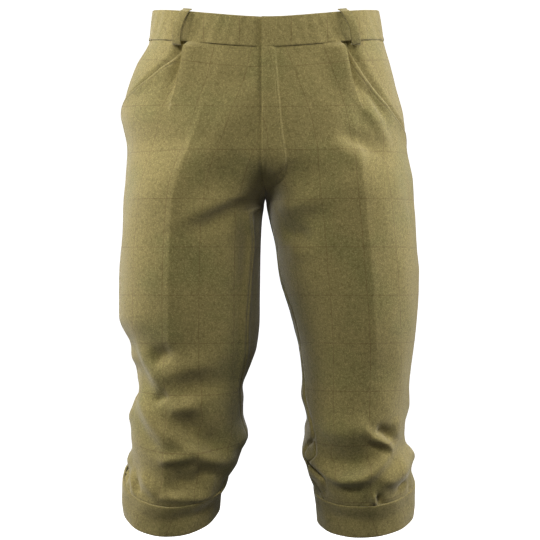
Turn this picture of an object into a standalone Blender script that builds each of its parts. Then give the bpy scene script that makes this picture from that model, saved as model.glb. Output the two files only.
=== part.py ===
"""Tweed knee breeches, filled out as worn, with nobody in them.

The garment is cut as its maker would cut it: two fronts and two backs joined at the side seams, inside
legs and rise, slanted pockets with a facing behind each, a waistband in two halves that laps at the
front, a fly, five belt loops, and a knee band that each leg blouses over.

Frame: +Z up, the wearer faces -Y, and the wearer's left is +X. The origin is the middle of the waist at
the height of the waistband's top edge. Lengths in the tables are millimetres. Each half is described
by horizontal sections around its leg. A point is found by its bearing about the section's
centre (0 is front, 90 is the outer side, 180 is back) and its level, the height of the section.
"""

from collections import namedtuple

import bpy
import numpy as np

MM = 0.001

# Driving sizes, in millimetres.
SEAM_GAP = 0.3
HALF_GAP = SEAM_GAP / 2
CLOTH = 1.8
WAIST_LEVEL = 0.0
WAISTBAND_HEIGHT = 41.0
WAISTBAND_CLOTH = 3.0
FRONT_DIP = 20.0
DIP_FADES = -60.0
DIP_ENDS = -200.0
FORK_LEVEL = -274.0
RISE_BLEND = 90.0
ROUND_AT_HIP = 2.3
ROUND_AT_KNEE = 2.0
SIDE_SEAM = 95.0
BAND_HEIGHT = 46.0
BAND_CLOTH = 3.0
BAND_CELLS = 32
BAND_LAP_CELLS = 3
LEG_IN_BAND = 12.0
LEG_INSET = 5.0
FACING_GAP = 3.2
FACING_INSET = 2.0
FACING_UNDERLAP = 9.0
FACING_DROP = 12.0
FACING_SIDE_GAP = 0.5
FLY_FOOT = -254.0
FLY_CLOTH = 1.4
FLY_STAND = 1.6
LOOP_WIDTH = 11.0
LOOP_CLOTH = 2.0
LOOP_STAND = 8.5
LOOP_TAIL = 12.0

CLOTH_COLOUR = (0.205, 0.172, 0.073, 1.0)
LOOP_COLOUR = (0.19, 0.16, 0.068, 1.0)
CLOTH_ROUGHNESS = 0.95

# How far a section reaches: outer and inner from the body's middle, front and back from the waist's
# centre. inner counts below the fork only. tilt and roll slope the section: front down, outer side up.
Section = namedtuple("Section", "level outer inner front back tilt roll")
RIGHT_SECTIONS = [
    Section(0, 161, 0, 112, 112, 0, 0),
    Section(-42, 166, 0, 115, 118, 0, 0),
    Section(-80, 186, 0, 119, 131, 0, 0),
    Section(-115, 199, 0, 121, 141, 0, 0),
    Section(-150, 206, 0, 122, 149, 0, 0),
    Section(-200, 199, 0, 121, 153, 0, 0),
    Section(-240, 201, 0, 117, 148, 0, 0),
    Section(-274, 203, 1.5, 113, 138, 0, 0),
    Section(-300, 204, 5, 110, 127, 0, 0),
    Section(-370, 209, 7.5, 104, 112, 0, 0),
    Section(-435, 209.5, 8, 97, 104, 0, 0),
    Section(-480, 192, 13, 90, 100, 0, 0),
    Section(-528, 184, 28, 83, 97, 3, 0),
    Section(-575, 192, 32, 83, 96, 8, 0),
    Section(-605, 196, 29, 82, 95, 13, 0),
    Section(-635, 192, 36, 78, 90, 20, 0),
    Section(-660, 202, 50, 70, 83, 26, -1),
    Section(-690, 205.5, 64, 58, 72, 28, -1.5),
    Section(-730, 203, 66, 56, 70, 28, -1.5),
]
LEFT_SECTIONS = [
    Section(0, 162, 0, 112, 112, 0, 0),
    Section(-42, 169, 0, 115, 118, 0, 0),
    Section(-80, 180, 0, 119, 131, 0, 0),
    Section(-115, 189, 0, 121, 141, 0, 0),
    Section(-150, 198, 0, 122, 149, 0, 0),
    Section(-200, 204, 0, 121, 153, 0, 0),
    Section(-240, 211, 0, 117, 148, 0, 0),
    Section(-274, 213, 1, 113, 138, 0, 0),
    Section(-300, 215, 6, 110, 127, 0, 0),
    Section(-338, 217.5, 14, 107, 118, 0, 0),
    Section(-373, 220, 19, 104, 112, 0, 0),
    Section(-442, 217, 38, 96, 104, 0, 0),
    Section(-480, 213, 48, 91, 100, 0, 0),
    Section(-528, 207, 53, 85, 97, 0, 0),
    Section(-579, 204, 55, 83, 96, 3, 1),
    Section(-615, 200, 57, 82, 95, 8, 2),
    Section(-645, 213, 57, 80, 91, 13, 3),
    Section(-672, 213, 68, 70, 83, 17, 3.5),
    Section(-702, 214, 73, 58, 72, 19, 3.5),
    Section(-745, 212, 75, 56, 70, 19, 3.5),
]

# A line down the leg: how far it lies from the body's middle at each level.
Line = namedtuple("Line", "level across")
RIGHT_CREASE = [
    Line(-41, 60), Line(-93, 72), Line(-131, 84), Line(-186, 100), Line(-240, 121),
    Line(-274, 127), Line(-340, 132), Line(-477, 134), Line(-560, 130), Line(-640, 138), Line(-720, 150),
]
LEFT_CREASE = [
    Line(-41, 86), Line(-100, 106), Line(-154, 121), Line(-235, 133), Line(-311, 141),
    Line(-370, 146), Line(-451, 152), Line(-503, 154), Line(-600, 153), Line(-660, 156), Line(-730, 163),
]
RIGHT_PLEAT = [
    Line(-41, 106), Line(-63, 110), Line(-85, 116), Line(-110, 123), Line(-130, 130), Line(-165, 139),
    Line(-240, 150), Line(-340, 158), Line(-477, 158), Line(-560, 152), Line(-640, 158), Line(-720, 170),
]
LEFT_PLEAT = [
    Line(-41, 103), Line(-69, 110), Line(-95, 116), Line(-120, 125), Line(-150, 138), Line(-190, 154),
    Line(-240, 163), Line(-340, 170), Line(-451, 176), Line(-600, 176), Line(-660, 178), Line(-730, 184),
]
PLEAT_HEIGHT = 3.6
PLEAT_STEP = 2.4
PLEAT_FOOT = -150.0
CREASE_HEIGHT = 3.5
CREASE_REACH = 13.0

# The front's edge at the slanted pocket: its bearing at each level. It ends at the side seam.
Edge = namedtuple("Edge", "level bearing")
RIGHT_POCKET = [
    Edge(-36, 50), Edge(-67, 54), Edge(-82, 59), Edge(-100, 65), Edge(-114, 72), Edge(-128, 80), Edge(-170, 95),
]
LEFT_POCKET = [
    Edge(-36, 50), Edge(-86, 55), Edge(-112, 60), Edge(-138, 66), Edge(-160, 74), Edge(-180, 84), Edge(-200, 95),
]

# A fold in the cloth: a curve through three points on one face of the garment. On the front and back,
# across is measured from the body's middle, and on the outer and inner faces it is measured from the waist's
# centre towards the back. high is positive for a ridge and negative for a trough.
Fold = namedtuple("Fold", "face across1 z1 across2 z2 across3 z3 wide high")
RIGHT_FOLDS = [
    Fold("front", 15, -123, 69, -182, 122, -236, 27, 5),
    Fold("front", 7, -216, 56, -243, 126, -262, 24, -7),
    Fold("front", 16, -266, 67, -284, 115, -304, 20, 4),
    Fold("front", 24, -308, 78, -322, 126, -330, 20, -3),
    Fold("front", 150, -499, 130, -491, 88, -491, 11, -7),
    Fold("front", 136, -517, 99, -509, 45, -504, 11, 5),
    Fold("front", 126, -532, 88, -529, 45, -523, 11, -5),
    Fold("front", 168, -504, 152, -526, 134, -540, 10, 6),
    Fold("front", 154, -556, 147, -556, 138, -557, 10, -6),
    Fold("front", 167, -563, 152, -590, 136, -627, 10, 8),
    Fold("front", 131, -590, 88, -601, 44, -601, 17, -8),
    Fold("front", 128, -598, 99, -620, 44, -638, 10, 9),
    Fold("front", 147, -644, 131, -638, 104, -635, 9, 6),
    Fold("front", 134, -660, 99, -662, 62, -668, 13, -7),
    Fold("front", 126, -687, 99, -688, 67, -687, 9, 5),
    Fold("outer", -35, -642, 10, -634, 60, -622, 12, 5),
    Fold("outer", -40, -600, 0, -590, 50, -600, 14, 4),
    Fold("outer", -50, -548, 0, -536, 60, -542, 14, -6),
    Fold("inner", -50, -612, 0, -606, 50, -600, 15, 5),
    Fold("inner", -40, -540, 0, -535, 50, -545, 14, -5),
    Fold("back", 40, -250, 90, -262, 160, -240, 22, -7),
    Fold("back", 50, -300, 100, -312, 160, -300, 20, 4),
    Fold("back", 40, -500, 95, -512, 160, -498, 13, 5),
    Fold("back", 40, -528, 100, -540, 165, -530, 13, -7),
    Fold("back", 45, -572, 90, -560, 165, -566, 12, 7),
    Fold("back", 60, -600, 120, -612, 180, -598, 12, -6),
]
LEFT_FOLDS = [
    Fold("front", 118, -104, 148, -150, 184, -200, 13, 5),
    Fold("front", 120, -84, 144, -118, 170, -150, 12, -4),
    Fold("front", 6, -247, 51, -244, 118, -220, 23, -7),
    Fold("front", 89, -193, 116, -206, 148, -225, 17, 5),
    Fold("front", 27, -298, 57, -279, 105, -273, 18, 6),
    Fold("front", 22, -319, 41, -319, 62, -316, 11, -5),
    Fold("front", 67, -593, 94, -587, 132, -590, 12, 3),
    Fold("front", 79, -630, 116, -622, 164, -619, 19, -9),
    Fold("front", 148, -603, 169, -608, 183, -630, 12, 6),
    Fold("front", 175, -595, 183, -592, 192, -590, 9, -6),
    Fold("front", 81, -657, 121, -676, 175, -633, 10, 8),
    Fold("front", 156, -646, 175, -656, 202, -636, 10, 6),
    Fold("front", 158, -665, 161, -681, 161, -697, 7, -5),
    Fold("front", 84, -660, 89, -676, 89, -692, 7, -5),
    Fold("outer", -40, -640, 10, -632, 60, -620, 13, 5),
    Fold("outer", -45, -596, 0, -590, 55, -596, 13, -5),
    Fold("inner", -50, -640, 0, -630, 50, -612, 14, 5),
    Fold("inner", -45, -588, 0, -580, 50, -576, 12, -5),
    Fold("back", 40, -246, 95, -260, 165, -238, 22, -7),
    Fold("back", 55, -298, 105, -310, 165, -300, 20, 4),
    Fold("back", 60, -520, 115, -530, 185, -516, 13, 5),
    Fold("back", 60, -548, 125, -560, 190, -548, 13, -7),
    Fold("back", 65, -590, 115, -578, 190, -584, 12, 7),
    Fold("back", 75, -618, 135, -630, 195, -616, 12, -6),
]
FOLD_DROOP = 0.3
FOLD_SAMPLES = 13

Half = namedtuple("Half", "name sign sections crease pleat pocket folds inseam_turn band_level")
HALVES = [
    Half("right", -1, RIGHT_SECTIONS, RIGHT_CREASE, RIGHT_PLEAT, RIGHT_POCKET, RIGHT_FOLDS, 33.0, -689.0),
    Half("left", 1, LEFT_SECTIONS, LEFT_CREASE, LEFT_PLEAT, LEFT_POCKET, LEFT_FOLDS, 19.0, -702.0),
]
RIGHT, LEFT = HALVES

# The fly's stitched edge: how far it lies from the body's middle at each level.
FLY_EDGE = [
    Line(-36, 15), Line(-97, 19), Line(-181, 25.5), Line(-219, 30), Line(-236, 29), Line(-246, 24), Line(-254, 8),
]

# Where the five belt loops sit: the half of the waistband and the bearing round it.
Loop = namedtuple("Loop", "half bearing lean")
LOOPS = [
    Loop(RIGHT, 52.5, 8.0), Loop(LEFT, 52.5, 11.0),
    Loop(RIGHT, 128.0, 0.0), Loop(LEFT, 128.0, 0.0), Loop(LEFT, 180.0, 0.0),
]


def smoothstep(t):
    t = np.clip(t, 0.0, 1.0)
    return t * t * (3 - 2 * t)


def along_table(rows, column, level):
    """The column's value at a level, on a smooth curve through the table's rows that doesn't overshoot."""
    x = -np.array([row.level for row in rows], float)
    y = np.array([getattr(row, column) for row in rows], float)
    width = np.diff(x)
    slope = np.diff(y) / width
    inner = np.where(slope[:-1] * slope[1:] > 0, 2 / (1 / _safe(slope[:-1]) + 1 / _safe(slope[1:])), 0.0)
    tangent = np.concatenate([[slope[0]], inner, [slope[-1]]])
    at = np.clip(-np.asarray(level, float), x[0], x[-1])
    i = np.clip(np.searchsorted(x, at) - 1, 0, len(width) - 1)
    t = (at - x[i]) / width[i]
    return (
        y[i] * (1 + 2 * t) * (1 - t) ** 2
        + tangent[i] * width[i] * t * (1 - t) ** 2
        + y[i + 1] * t * t * (3 - 2 * t)
        + tangent[i + 1] * width[i] * t * t * (t - 1)
    )


def _safe(values):
    return np.where(np.abs(values) < 1e-9, 1e-9, values)


def roundness(level):
    """The section's exponent: 2 is an ellipse, and more is squarer."""
    return ROUND_AT_HIP + (ROUND_AT_KNEE - ROUND_AT_HIP) * smoothstep((-480 - level) / 160.0)


def section_at(half, level):
    """Centre and half-sizes of the half's section. Above the fork the section's centre slides from the
    leg to the body's middle, and the part that would cross the middle is what the rise seam cuts off."""
    outer = along_table(half.sections, "outer", level)
    inner = along_table(half.sections, "inner", level)
    crossing = 1 - smoothstep((level - FORK_LEVEL) / RISE_BLEND)
    centre = crossing * (outer + inner) / (1 + crossing)
    across = outer - centre
    front = along_table(half.sections, "front", level)
    back = along_table(half.sections, "back", level)
    return centre, (back - front) / 2, across, (back + front) / 2


def base_points(half, bearing, level):
    """Points on the cloth's outer surface before pleats and folds; bearing in degrees."""
    bearing, level = np.broadcast_arrays(np.asarray(bearing, float), np.asarray(level, float))
    centre_x, centre_y, across, deep = section_at(half, level)
    sine, cosine = np.sin(np.radians(bearing)), np.cos(np.radians(bearing))
    power = roundness(level)
    reach = ((np.abs(sine) / across) ** power + (np.abs(cosine) / deep) ** power) ** (-1 / power)
    x = centre_x + reach * sine
    y = centre_y - reach * cosine
    dip = FRONT_DIP * (1 - smoothstep((level - DIP_FADES) / (DIP_ENDS - DIP_FADES)))
    tilt = np.tan(np.radians(along_table(half.sections, "tilt", level)))
    roll = np.tan(np.radians(along_table(half.sections, "roll", level)))
    z = level - dip * np.clip(cosine, 0, 1) ** 1.5 + tilt * (y - centre_y) + roll * (x - centre_x)
    return np.stack([half.sign * np.maximum(x, HALF_GAP), y, z], axis=-1)


def base_normals(half, bearing, level):
    """Outward normals of that surface."""
    step_turn, step_level = 0.5, 1.5
    round_it = base_points(half, bearing + step_turn, level) - base_points(half, bearing - step_turn, level)
    up = base_points(half, bearing, level + step_level) - base_points(half, bearing, level - step_level)
    normal = half.sign * np.cross(round_it, up)
    return normal / np.linalg.norm(normal, axis=-1, keepdims=True)


def bearing_at(half, across, level):
    """The bearing, on the front, of the point that lies this far from the body's middle."""
    centre_x, _, wide, deep = section_at(half, level)
    x = np.clip(across - centre_x, -0.999 * wide, 0.999 * wide)
    power = roundness(level)
    forward = deep * (1 - (np.abs(x) / wide) ** power) ** (1 / power)
    return np.degrees(np.arctan2(x, forward))


def crease_bearing(half, level):
    return bearing_at(half, along_table(half.crease, "across", level), level)


def pleat_bearing(half, level):
    return bearing_at(half, along_table(half.pleat, "across", level), level)


def inner_edge(half, level, back):
    """The bearing of a front's or a back's inner edge: the rise seam, and below the fork the inside leg."""
    centre_x, _, wide, deep = section_at(half, level)
    x = -np.minimum(centre_x - HALF_GAP, wide * 0.9999)
    power = roundness(level)
    forward = deep * (1 - np.minimum(np.abs(x) / wide, 1) ** power) ** (1 / power)
    rise = np.degrees(np.arctan2(x, forward))
    seam_inset = np.degrees(HALF_GAP / wide)
    turned = -90.0 + half.inseam_turn * smoothstep((FORK_LEVEL - level) / 70.0)
    if back:
        return np.where(level > FORK_LEVEL, 180 - rise, turned + 360 - seam_inset)
    return np.where(level > FORK_LEVEL, rise, turned + seam_inset)


def pocket_edge(half, level):
    """The bearing of the front's slanted pocket edge, which ends at the side seam."""
    return along_table(half.pocket, "bearing", level)


def face_point(half, face, across, height):
    """The point of the base surface with these coordinates on one face."""
    bearings = {
        "front": np.linspace(-89, 89, 179),
        "back": np.linspace(91, 269, 179),
        "outer": np.linspace(1, 179, 179),
        "inner": np.linspace(-179, -1, 179),
    }[face]
    axis = 0 if face in ("front", "back") else 1
    level = height
    for _ in range(6):
        points = base_points(half, bearings, np.full(len(bearings), level))
        along = points[:, axis] * (half.sign if axis == 0 else 1)
        order = np.argsort(along)
        point = np.array([np.interp(across, along[order], points[order, k]) for k in range(3)])
        level = level + (height - point[2])
    return point


def fold_height(half, points):
    """How far the folds lift the cloth at these points of the base surface."""
    total = np.zeros(len(points))
    steps = np.linspace(0, 1, FOLD_SAMPLES)
    for fold in half.folds:
        ends = [
            face_point(half, fold.face, across, z)
            for across, z in ((fold.across1, fold.z1), (fold.across2, fold.z2), (fold.across3, fold.z3))
        ]
        lift = np.zeros(len(points))
        for t in steps:
            on_curve = ends[0] * (1 - t) * (1 - 2 * t) + ends[1] * 4 * t * (1 - t) + ends[2] * t * (2 * t - 1)
            fullness = np.sin(np.pi * (0.12 + 0.76 * t)) ** 0.8
            away = np.linalg.norm(points - on_curve, axis=1) / (fold.wide * (0.6 + 0.4 * fullness))
            lift = np.maximum(lift, fullness * np.exp(-away * away))
        total += fold.high * lift
    return total


def pleat_height(half, bearing, level, points):
    """The front pleat: its edge stands proud and faces the hip, and it dies away down the leg."""
    wide = section_at(half, level)[2]
    arc = np.radians(bearing - pleat_bearing(half, level)) * np.minimum(wide, 130.0)
    strength = smoothstep((level - PLEAT_FOOT) / (-WAISTBAND_HEIGHT - PLEAT_FOOT))
    inside = np.exp(-((np.minimum(arc, 0) / 16.0) ** 2))
    past_step = np.clip(arc / PLEAT_STEP, 0, 1)
    return PLEAT_HEIGHT * strength * inside * (1 - past_step)


def crease_height(half, bearing, level):
    """The pressed creases down the middle of the front and the back of each leg."""
    wide = section_at(half, level)[2]
    front = np.abs(np.radians(bearing - crease_bearing(half, level))) * wide
    back = np.abs(np.radians(bearing - 180 + crease_bearing(half, level) * 0.6)) * wide
    fade = smoothstep((-150 - level) / 130.0) * smoothstep((level + 520) / 60.0)
    return CREASE_HEIGHT * fade * (np.exp(-front / CREASE_REACH) + 0.7 * np.exp(-back / CREASE_REACH))


def cloth_points(half, bearing, level, inset):
    """Points of the shaped cloth, inset from its outer surface by this many millimetres."""
    bearing, level, inset = np.broadcast_arrays(bearing, level, inset)
    shape = bearing.shape
    bearing, level, inset = (np.ravel(a).astype(float) for a in (bearing, level, inset))
    base = base_points(half, bearing, level)
    normal = base_normals(half, bearing, level)
    band_top = half.band_level + BAND_HEIGHT / 2
    in_band = 1 - smoothstep((level - band_top) / 20.0)
    free = smoothstep((level - band_top - 2) / 16.0) * smoothstep((-WAISTBAND_HEIGHT - 6 - level) / 30.0)
    folds = fold_height(half, base) * free
    lift = folds + pleat_height(half, bearing, level, base) + crease_height(half, bearing, level)
    lift = lift - LEG_INSET * in_band
    points = base + normal * (lift - inset)[:, None]
    points[:, 2] -= FOLD_DROOP * folds
    points[:, 0] = half.sign * np.maximum(half.sign * points[:, 0], HALF_GAP)
    return points.reshape(*shape, 3)


def wall(name, outer, inner, material, closed=False):
    """A closed wall between two grids of points, joined round their rims. closed joins the last column
    to the first."""
    rows, columns = outer.shape[:2]
    points = np.concatenate([outer.reshape(-1, 3), inner.reshape(-1, 3)]) * MM
    across = columns if closed else columns - 1
    layer = rows * columns

    def at(row, column, inside=0):
        return inside * layer + row * columns + column % columns

    faces = []
    for i in range(rows - 1):
        for j in range(across):
            faces.append((at(i, j), at(i + 1, j), at(i + 1, j + 1), at(i, j + 1)))
            faces.append((at(i, j, 1), at(i, j + 1, 1), at(i + 1, j + 1, 1), at(i + 1, j, 1)))
    for j in range(across):
        faces.append((at(0, j), at(0, j + 1), at(0, j + 1, 1), at(0, j, 1)))
        faces.append((at(rows - 1, j + 1), at(rows - 1, j), at(rows - 1, j, 1), at(rows - 1, j + 1, 1)))
    if not closed:
        for i in range(rows - 1):
            faces.append((at(i + 1, 0), at(i, 0), at(i, 0, 1), at(i + 1, 0, 1)))
            end = columns - 1
            faces.append((at(i, end), at(i + 1, end), at(i + 1, end, 1), at(i, end, 1)))
    mesh = bpy.data.meshes.new(name)
    mesh.from_pydata([tuple(p) for p in points], [], faces)
    piece = bpy.data.objects.new(name, mesh)
    bpy.context.scene.collection.objects.link(piece)
    mesh.materials.append(material)
    face_outwards(mesh)
    mesh.shade_smooth()
    return piece


def face_outwards(mesh):
    """Turns every face round if the closed mesh has its faces pointing in."""
    mesh.calc_loop_triangles()
    corners = np.array([[mesh.vertices[i].co for i in t.vertices] for t in mesh.loop_triangles])
    if np.linalg.det(corners).sum() < 0:
        mesh.flip_normals()
    mesh.update()


def cloth_material(name, colour):
    material = bpy.data.materials.new(name)
    material.use_nodes = True
    shader = material.node_tree.nodes["Principled BSDF"]
    shader.inputs["Base Color"].default_value = colour
    shader.inputs["Roughness"].default_value = CLOTH_ROUGHNESS
    shader.inputs["Metallic"].default_value = 0.0
    return material


def spread(edges, cells):
    """Columns across a panel: for each pair of neighbouring edges, that many equal cells."""
    columns = []
    for start, end, count in zip(edges, edges[1:], cells):
        columns += [start + (end - start) * k / count for k in range(count)]
    return np.stack(columns + [edges[-1]], axis=1)


def leg_levels(half):
    """Heights of the rows of cloth, from the waistband's seam to the hem inside the knee band."""
    hip = np.linspace(-WAISTBAND_HEIGHT - SEAM_GAP, FORK_LEVEL + RISE_BLEND, 8)
    round_rise = FORK_LEVEL + RISE_BLEND * (1 - np.sin(np.linspace(0, np.pi / 2, 9)[1:-1])) + 0.6
    thigh = np.linspace(FORK_LEVEL - 0.6, -470.0, 10)
    hem = half.band_level + BAND_HEIGHT / 2 - LEG_IN_BAND
    knee = np.linspace(-470.0, hem, 18)[1:]
    return np.concatenate([hip, round_rise, thigh, knee])


def make_front(half, material):
    level = leg_levels(half)
    inner = inner_edge(half, level, back=False)
    crease = crease_bearing(half, level)
    pleat = pleat_bearing(half, level)
    wide = section_at(half, level)[2]
    foot = pleat + np.degrees(PLEAT_STEP / np.minimum(wide, 130.0))
    outer = np.minimum(pocket_edge(half, level), SIDE_SEAM - np.degrees(HALF_GAP / wide))
    foot = np.minimum(foot, outer - 1.0)
    pleat = np.minimum(pleat, foot - 0.5)
    bearing = spread([inner, crease, pleat, foot, outer], [4, 1, 1, 3])
    level = np.repeat(level[:, None], bearing.shape[1], axis=1)
    return wall(
        f"front_{half.name}",
        cloth_points(half, bearing, level, 0.0),
        cloth_points(half, bearing, level, CLOTH),
        material,
    )


def make_back(half, material):
    level = leg_levels(half)
    wide = section_at(half, level)[2]
    side = SIDE_SEAM + np.degrees(HALF_GAP / wide)
    bearing = spread([side, inner_edge(half, level, back=True)], [9])
    level = np.repeat(level[:, None], bearing.shape[1], axis=1)
    return wall(
        f"back_{half.name}",
        cloth_points(half, bearing, level, 0.0),
        cloth_points(half, bearing, level, CLOTH),
        material,
    )


def make_pocket_facing(half, material):
    """The facing behind the slanted pocket: it lies under the front's edge and joins the side seam."""
    level = np.linspace(-WAISTBAND_HEIGHT - SEAM_GAP, half.pocket[-1].level - FACING_DROP, 11)
    wide = section_at(half, level)[2]
    edge = pocket_edge(half, level) - np.degrees(FACING_UNDERLAP / wide)
    side = np.full(len(level), SIDE_SEAM) - np.degrees(FACING_SIDE_GAP / wide)
    bearing = spread([edge, side], [5])
    level = np.repeat(level[:, None], bearing.shape[1], axis=1)
    from_edge = np.radians(bearing - pocket_edge(half, level)) * wide[:, None]
    inset = (CLOTH + FACING_GAP) * (1 - smoothstep((from_edge - 3) / 25.0))
    inset = inset + FACING_INSET * smoothstep((SIDE_SEAM - bearing) / 12.0)
    return wall(
        f"pocket_facing_{half.name}",
        cloth_points(half, bearing, level, inset),
        cloth_points(half, bearing, level, inset + CLOTH),
        material,
    )


def make_waistband(half, material):
    """Half of the waistband. The left half laps over the right one at the front."""
    underlap = 14.0 if half.sign < 0 else 0.0
    front_end = -underlap if half.sign < 0 else -0.7
    bearing = np.concatenate([np.linspace(front_end, 12, 4), np.linspace(12, 180, 20)[1:]])
    edge_turn = np.degrees(HALF_GAP / 112.0)
    bearing[-1] = 180 - edge_turn
    level = np.linspace(WAIST_LEVEL, -WAISTBAND_HEIGHT, 3)
    level, bearing = np.meshgrid(level, bearing, indexing="ij")
    lap = (WAISTBAND_CLOTH + SEAM_GAP) * (1 - smoothstep((bearing - 1.5) / 9.0)) if half.sign < 0 else 0.0
    outer = lapped_points(half, bearing, level, lap)
    inner = lapped_points(half, bearing, level, lap + WAISTBAND_CLOTH)
    return wall(f"waistband_{half.name}", outer, inner, material)


def lapped_points(half, bearing, level, inset):
    """Waistband points. Bearings below zero carry on past the body's middle under or over the other half."""
    mirrored = np.abs(bearing)
    points = base_points(half, mirrored, level) - base_normals(half, mirrored, level) * np.asarray(inset)[..., None]
    centre_line = HALF_GAP * (np.abs(bearing) < 1e-9)
    points[..., 0] = np.where(bearing < 0, -points[..., 0], points[..., 0]) + centre_line
    return points


def make_knee_band(half, material):
    """The band is one strip that goes round the leg once and laps over itself behind the outer side."""
    start = 118.0
    bearing = start + np.arange(BAND_CELLS + BAND_LAP_CELLS + 1) * 360.0 / BAND_CELLS
    level = half.band_level + np.linspace(BAND_HEIGHT / 2, -BAND_HEIGHT / 2, 4)
    level, bearing = np.meshgrid(level, bearing, indexing="ij")
    over = (BAND_CLOTH + SEAM_GAP) * smoothstep((bearing - start - 360 + 24) / 22.0)
    flare = 2.0 * smoothstep((level - half.band_level) / (BAND_HEIGHT / 2))
    outer = base_points(half, bearing, level) + base_normals(half, bearing, level) * (over + flare)[..., None]
    inner = outer - base_normals(half, bearing, level) * BAND_CLOTH
    return wall(f"knee_band_{half.name}", outer, inner, material)


def make_fly(material):
    """The fly's folded edge and facing: a strip over the left front, with a curved foot."""
    level = np.concatenate([
        np.linspace(-WAISTBAND_HEIGHT - SEAM_GAP - 0.3, -205.0, 9),
        -205.0 - (-FLY_FOOT - 205.0) * np.sin(np.linspace(0, np.pi / 2, 7)[1:]),
    ])
    width = along_table(FLY_EDGE, "across", level)
    near = 0.4 + 1.6 * smoothstep((-175 - level) / 60.0)
    share = np.linspace(0, 1, 5)
    across = near[:, None] + (width - near)[:, None] * share[None, :]
    level = np.repeat(level[:, None], len(share), axis=1)
    bearing = bearing_at(LEFT, across, level)
    stand = SEAM_GAP + FLY_STAND * smoothstep((-165 - level) / 50.0)
    return wall(
        "fly",
        cloth_points(LEFT, bearing, level, -stand - FLY_CLOTH),
        cloth_points(LEFT, bearing, level, -stand),
        material,
    )


def make_loop(name, loop, material):
    """A belt loop: sewn at the waistband's top edge, standing off it, and sewn down below its seam."""
    drop = WAISTBAND_HEIGHT + LOOP_TAIL
    down = np.array([0.0, 0.05, 0.16, 0.35, 0.6, 0.8, 0.93, 1.0])
    stand = SEAM_GAP + LOOP_STAND * np.sin(np.pi * np.clip(down, 0, 1)) ** 0.45
    stand[-1] = stand[0] = SEAM_GAP + 0.4
    level = 1.0 - drop * down
    lean = np.degrees(loop.lean / 130.0)
    half_turn = np.degrees(LOOP_WIDTH / 2 / 120.0)
    middle = loop.bearing + lean * (down - 0.5)
    side = np.linspace(-half_turn, half_turn, 3)
    bearing = middle[:, None] + side[None, :]
    level = np.repeat(level[:, None], len(side), axis=1)
    normal = base_normals(loop.half, np.minimum(loop.bearing, 179.0), level)
    base = loop_base(loop.half, bearing, level)
    pleat = pleat_height(loop.half, bearing, level, base)[..., None]
    inner = base + normal * (stand[:, None, None] + pleat)
    outer = inner + normal * LOOP_CLOTH
    outer[0, :, 2] += LOOP_CLOTH * 0.5
    return wall(name, outer, inner, material)


def loop_base(half, bearing, level):
    """Waistband surface at a bearing that may pass the centre back."""
    past = bearing > 180
    points = base_points(half, np.where(past, 360 - bearing, bearing), level)
    points[..., 0] = np.where(past, -points[..., 0], points[..., 0])
    return points


def clear_scene():
    for item in list(bpy.data.objects):
        bpy.data.objects.remove(item)


def main():
    clear_scene()
    tweed = cloth_material("tweed", CLOTH_COLOUR)
    loop_tweed = cloth_material("loop_tweed", LOOP_COLOUR)
    for half in HALVES:
        make_front(half, tweed)
        make_back(half, tweed)
        make_pocket_facing(half, tweed)
        make_waistband(half, tweed)
        make_knee_band(half, tweed)
    make_fly(tweed)
    for number, loop in enumerate(LOOPS, start=1):
        make_loop(f"belt_loop_{number}", loop, loop_tweed)


main()
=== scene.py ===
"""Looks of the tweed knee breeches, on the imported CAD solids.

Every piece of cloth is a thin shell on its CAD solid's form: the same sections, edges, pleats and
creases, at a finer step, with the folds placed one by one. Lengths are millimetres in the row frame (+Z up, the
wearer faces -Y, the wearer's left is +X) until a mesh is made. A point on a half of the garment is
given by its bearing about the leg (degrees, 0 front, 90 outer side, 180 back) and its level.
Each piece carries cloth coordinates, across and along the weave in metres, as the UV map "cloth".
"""

from collections import namedtuple

import bpy
import numpy as np
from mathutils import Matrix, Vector


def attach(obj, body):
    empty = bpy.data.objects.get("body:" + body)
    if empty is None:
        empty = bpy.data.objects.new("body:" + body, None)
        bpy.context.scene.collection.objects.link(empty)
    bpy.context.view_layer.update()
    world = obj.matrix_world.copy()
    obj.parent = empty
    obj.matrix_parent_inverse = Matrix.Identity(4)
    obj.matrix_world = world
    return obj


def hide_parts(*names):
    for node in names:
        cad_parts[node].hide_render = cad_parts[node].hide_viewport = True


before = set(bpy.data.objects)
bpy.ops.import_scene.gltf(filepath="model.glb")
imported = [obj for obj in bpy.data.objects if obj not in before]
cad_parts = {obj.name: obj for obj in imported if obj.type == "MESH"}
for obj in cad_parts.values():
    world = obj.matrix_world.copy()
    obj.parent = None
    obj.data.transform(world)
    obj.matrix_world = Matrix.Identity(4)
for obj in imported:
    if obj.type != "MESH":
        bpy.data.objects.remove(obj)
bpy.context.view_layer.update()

MM = 0.001

# ---------------------------------------------------------------- sizes

CLOTH = 1.4
WAISTBAND_HEIGHT = 41.0
WAISTBAND_CLOTH = 3.0
FRONT_DIP = 20.0
WAIST_TUCK = 1.2
DIP_FADES = -60.0
DIP_ENDS = -200.0
FORK_LEVEL = -274.0
RISE_BLEND = 90.0
ROUND_AT_HIP = 2.3
ROUND_AT_KNEE = 2.0
SIDE_SEAM = 95.0
PANEL_TOP = -37.0
BAND_HEIGHT = 46.0
BAND_CLOTH = 3.4
KNEE_BAND_STARTS = 118.0
KNEE_BAND_LAP = 34.0
LEG_IN_BAND = 12.0
LEG_INSET = 5.0
FACING_UNDERLAP = 12.0
FACING_DROP = 4.0
LAP_OVER = 5.0
FLY_CLOTH = 1.5
FLY_RISE = 1.2
FLY_GROOVE = 2.2
FLY_GROOVE_REACH = 1.7
LOOP_WIDTH = 11.0
LOOP_CLOTH = 2.2
LOOP_STAND = 7.0
LOOP_TAIL = 9.0
LOOP_CORNER = 0.7
POCKET_GAPE = 3.2
POCKET_GAPE_REACH = 22.0
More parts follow.
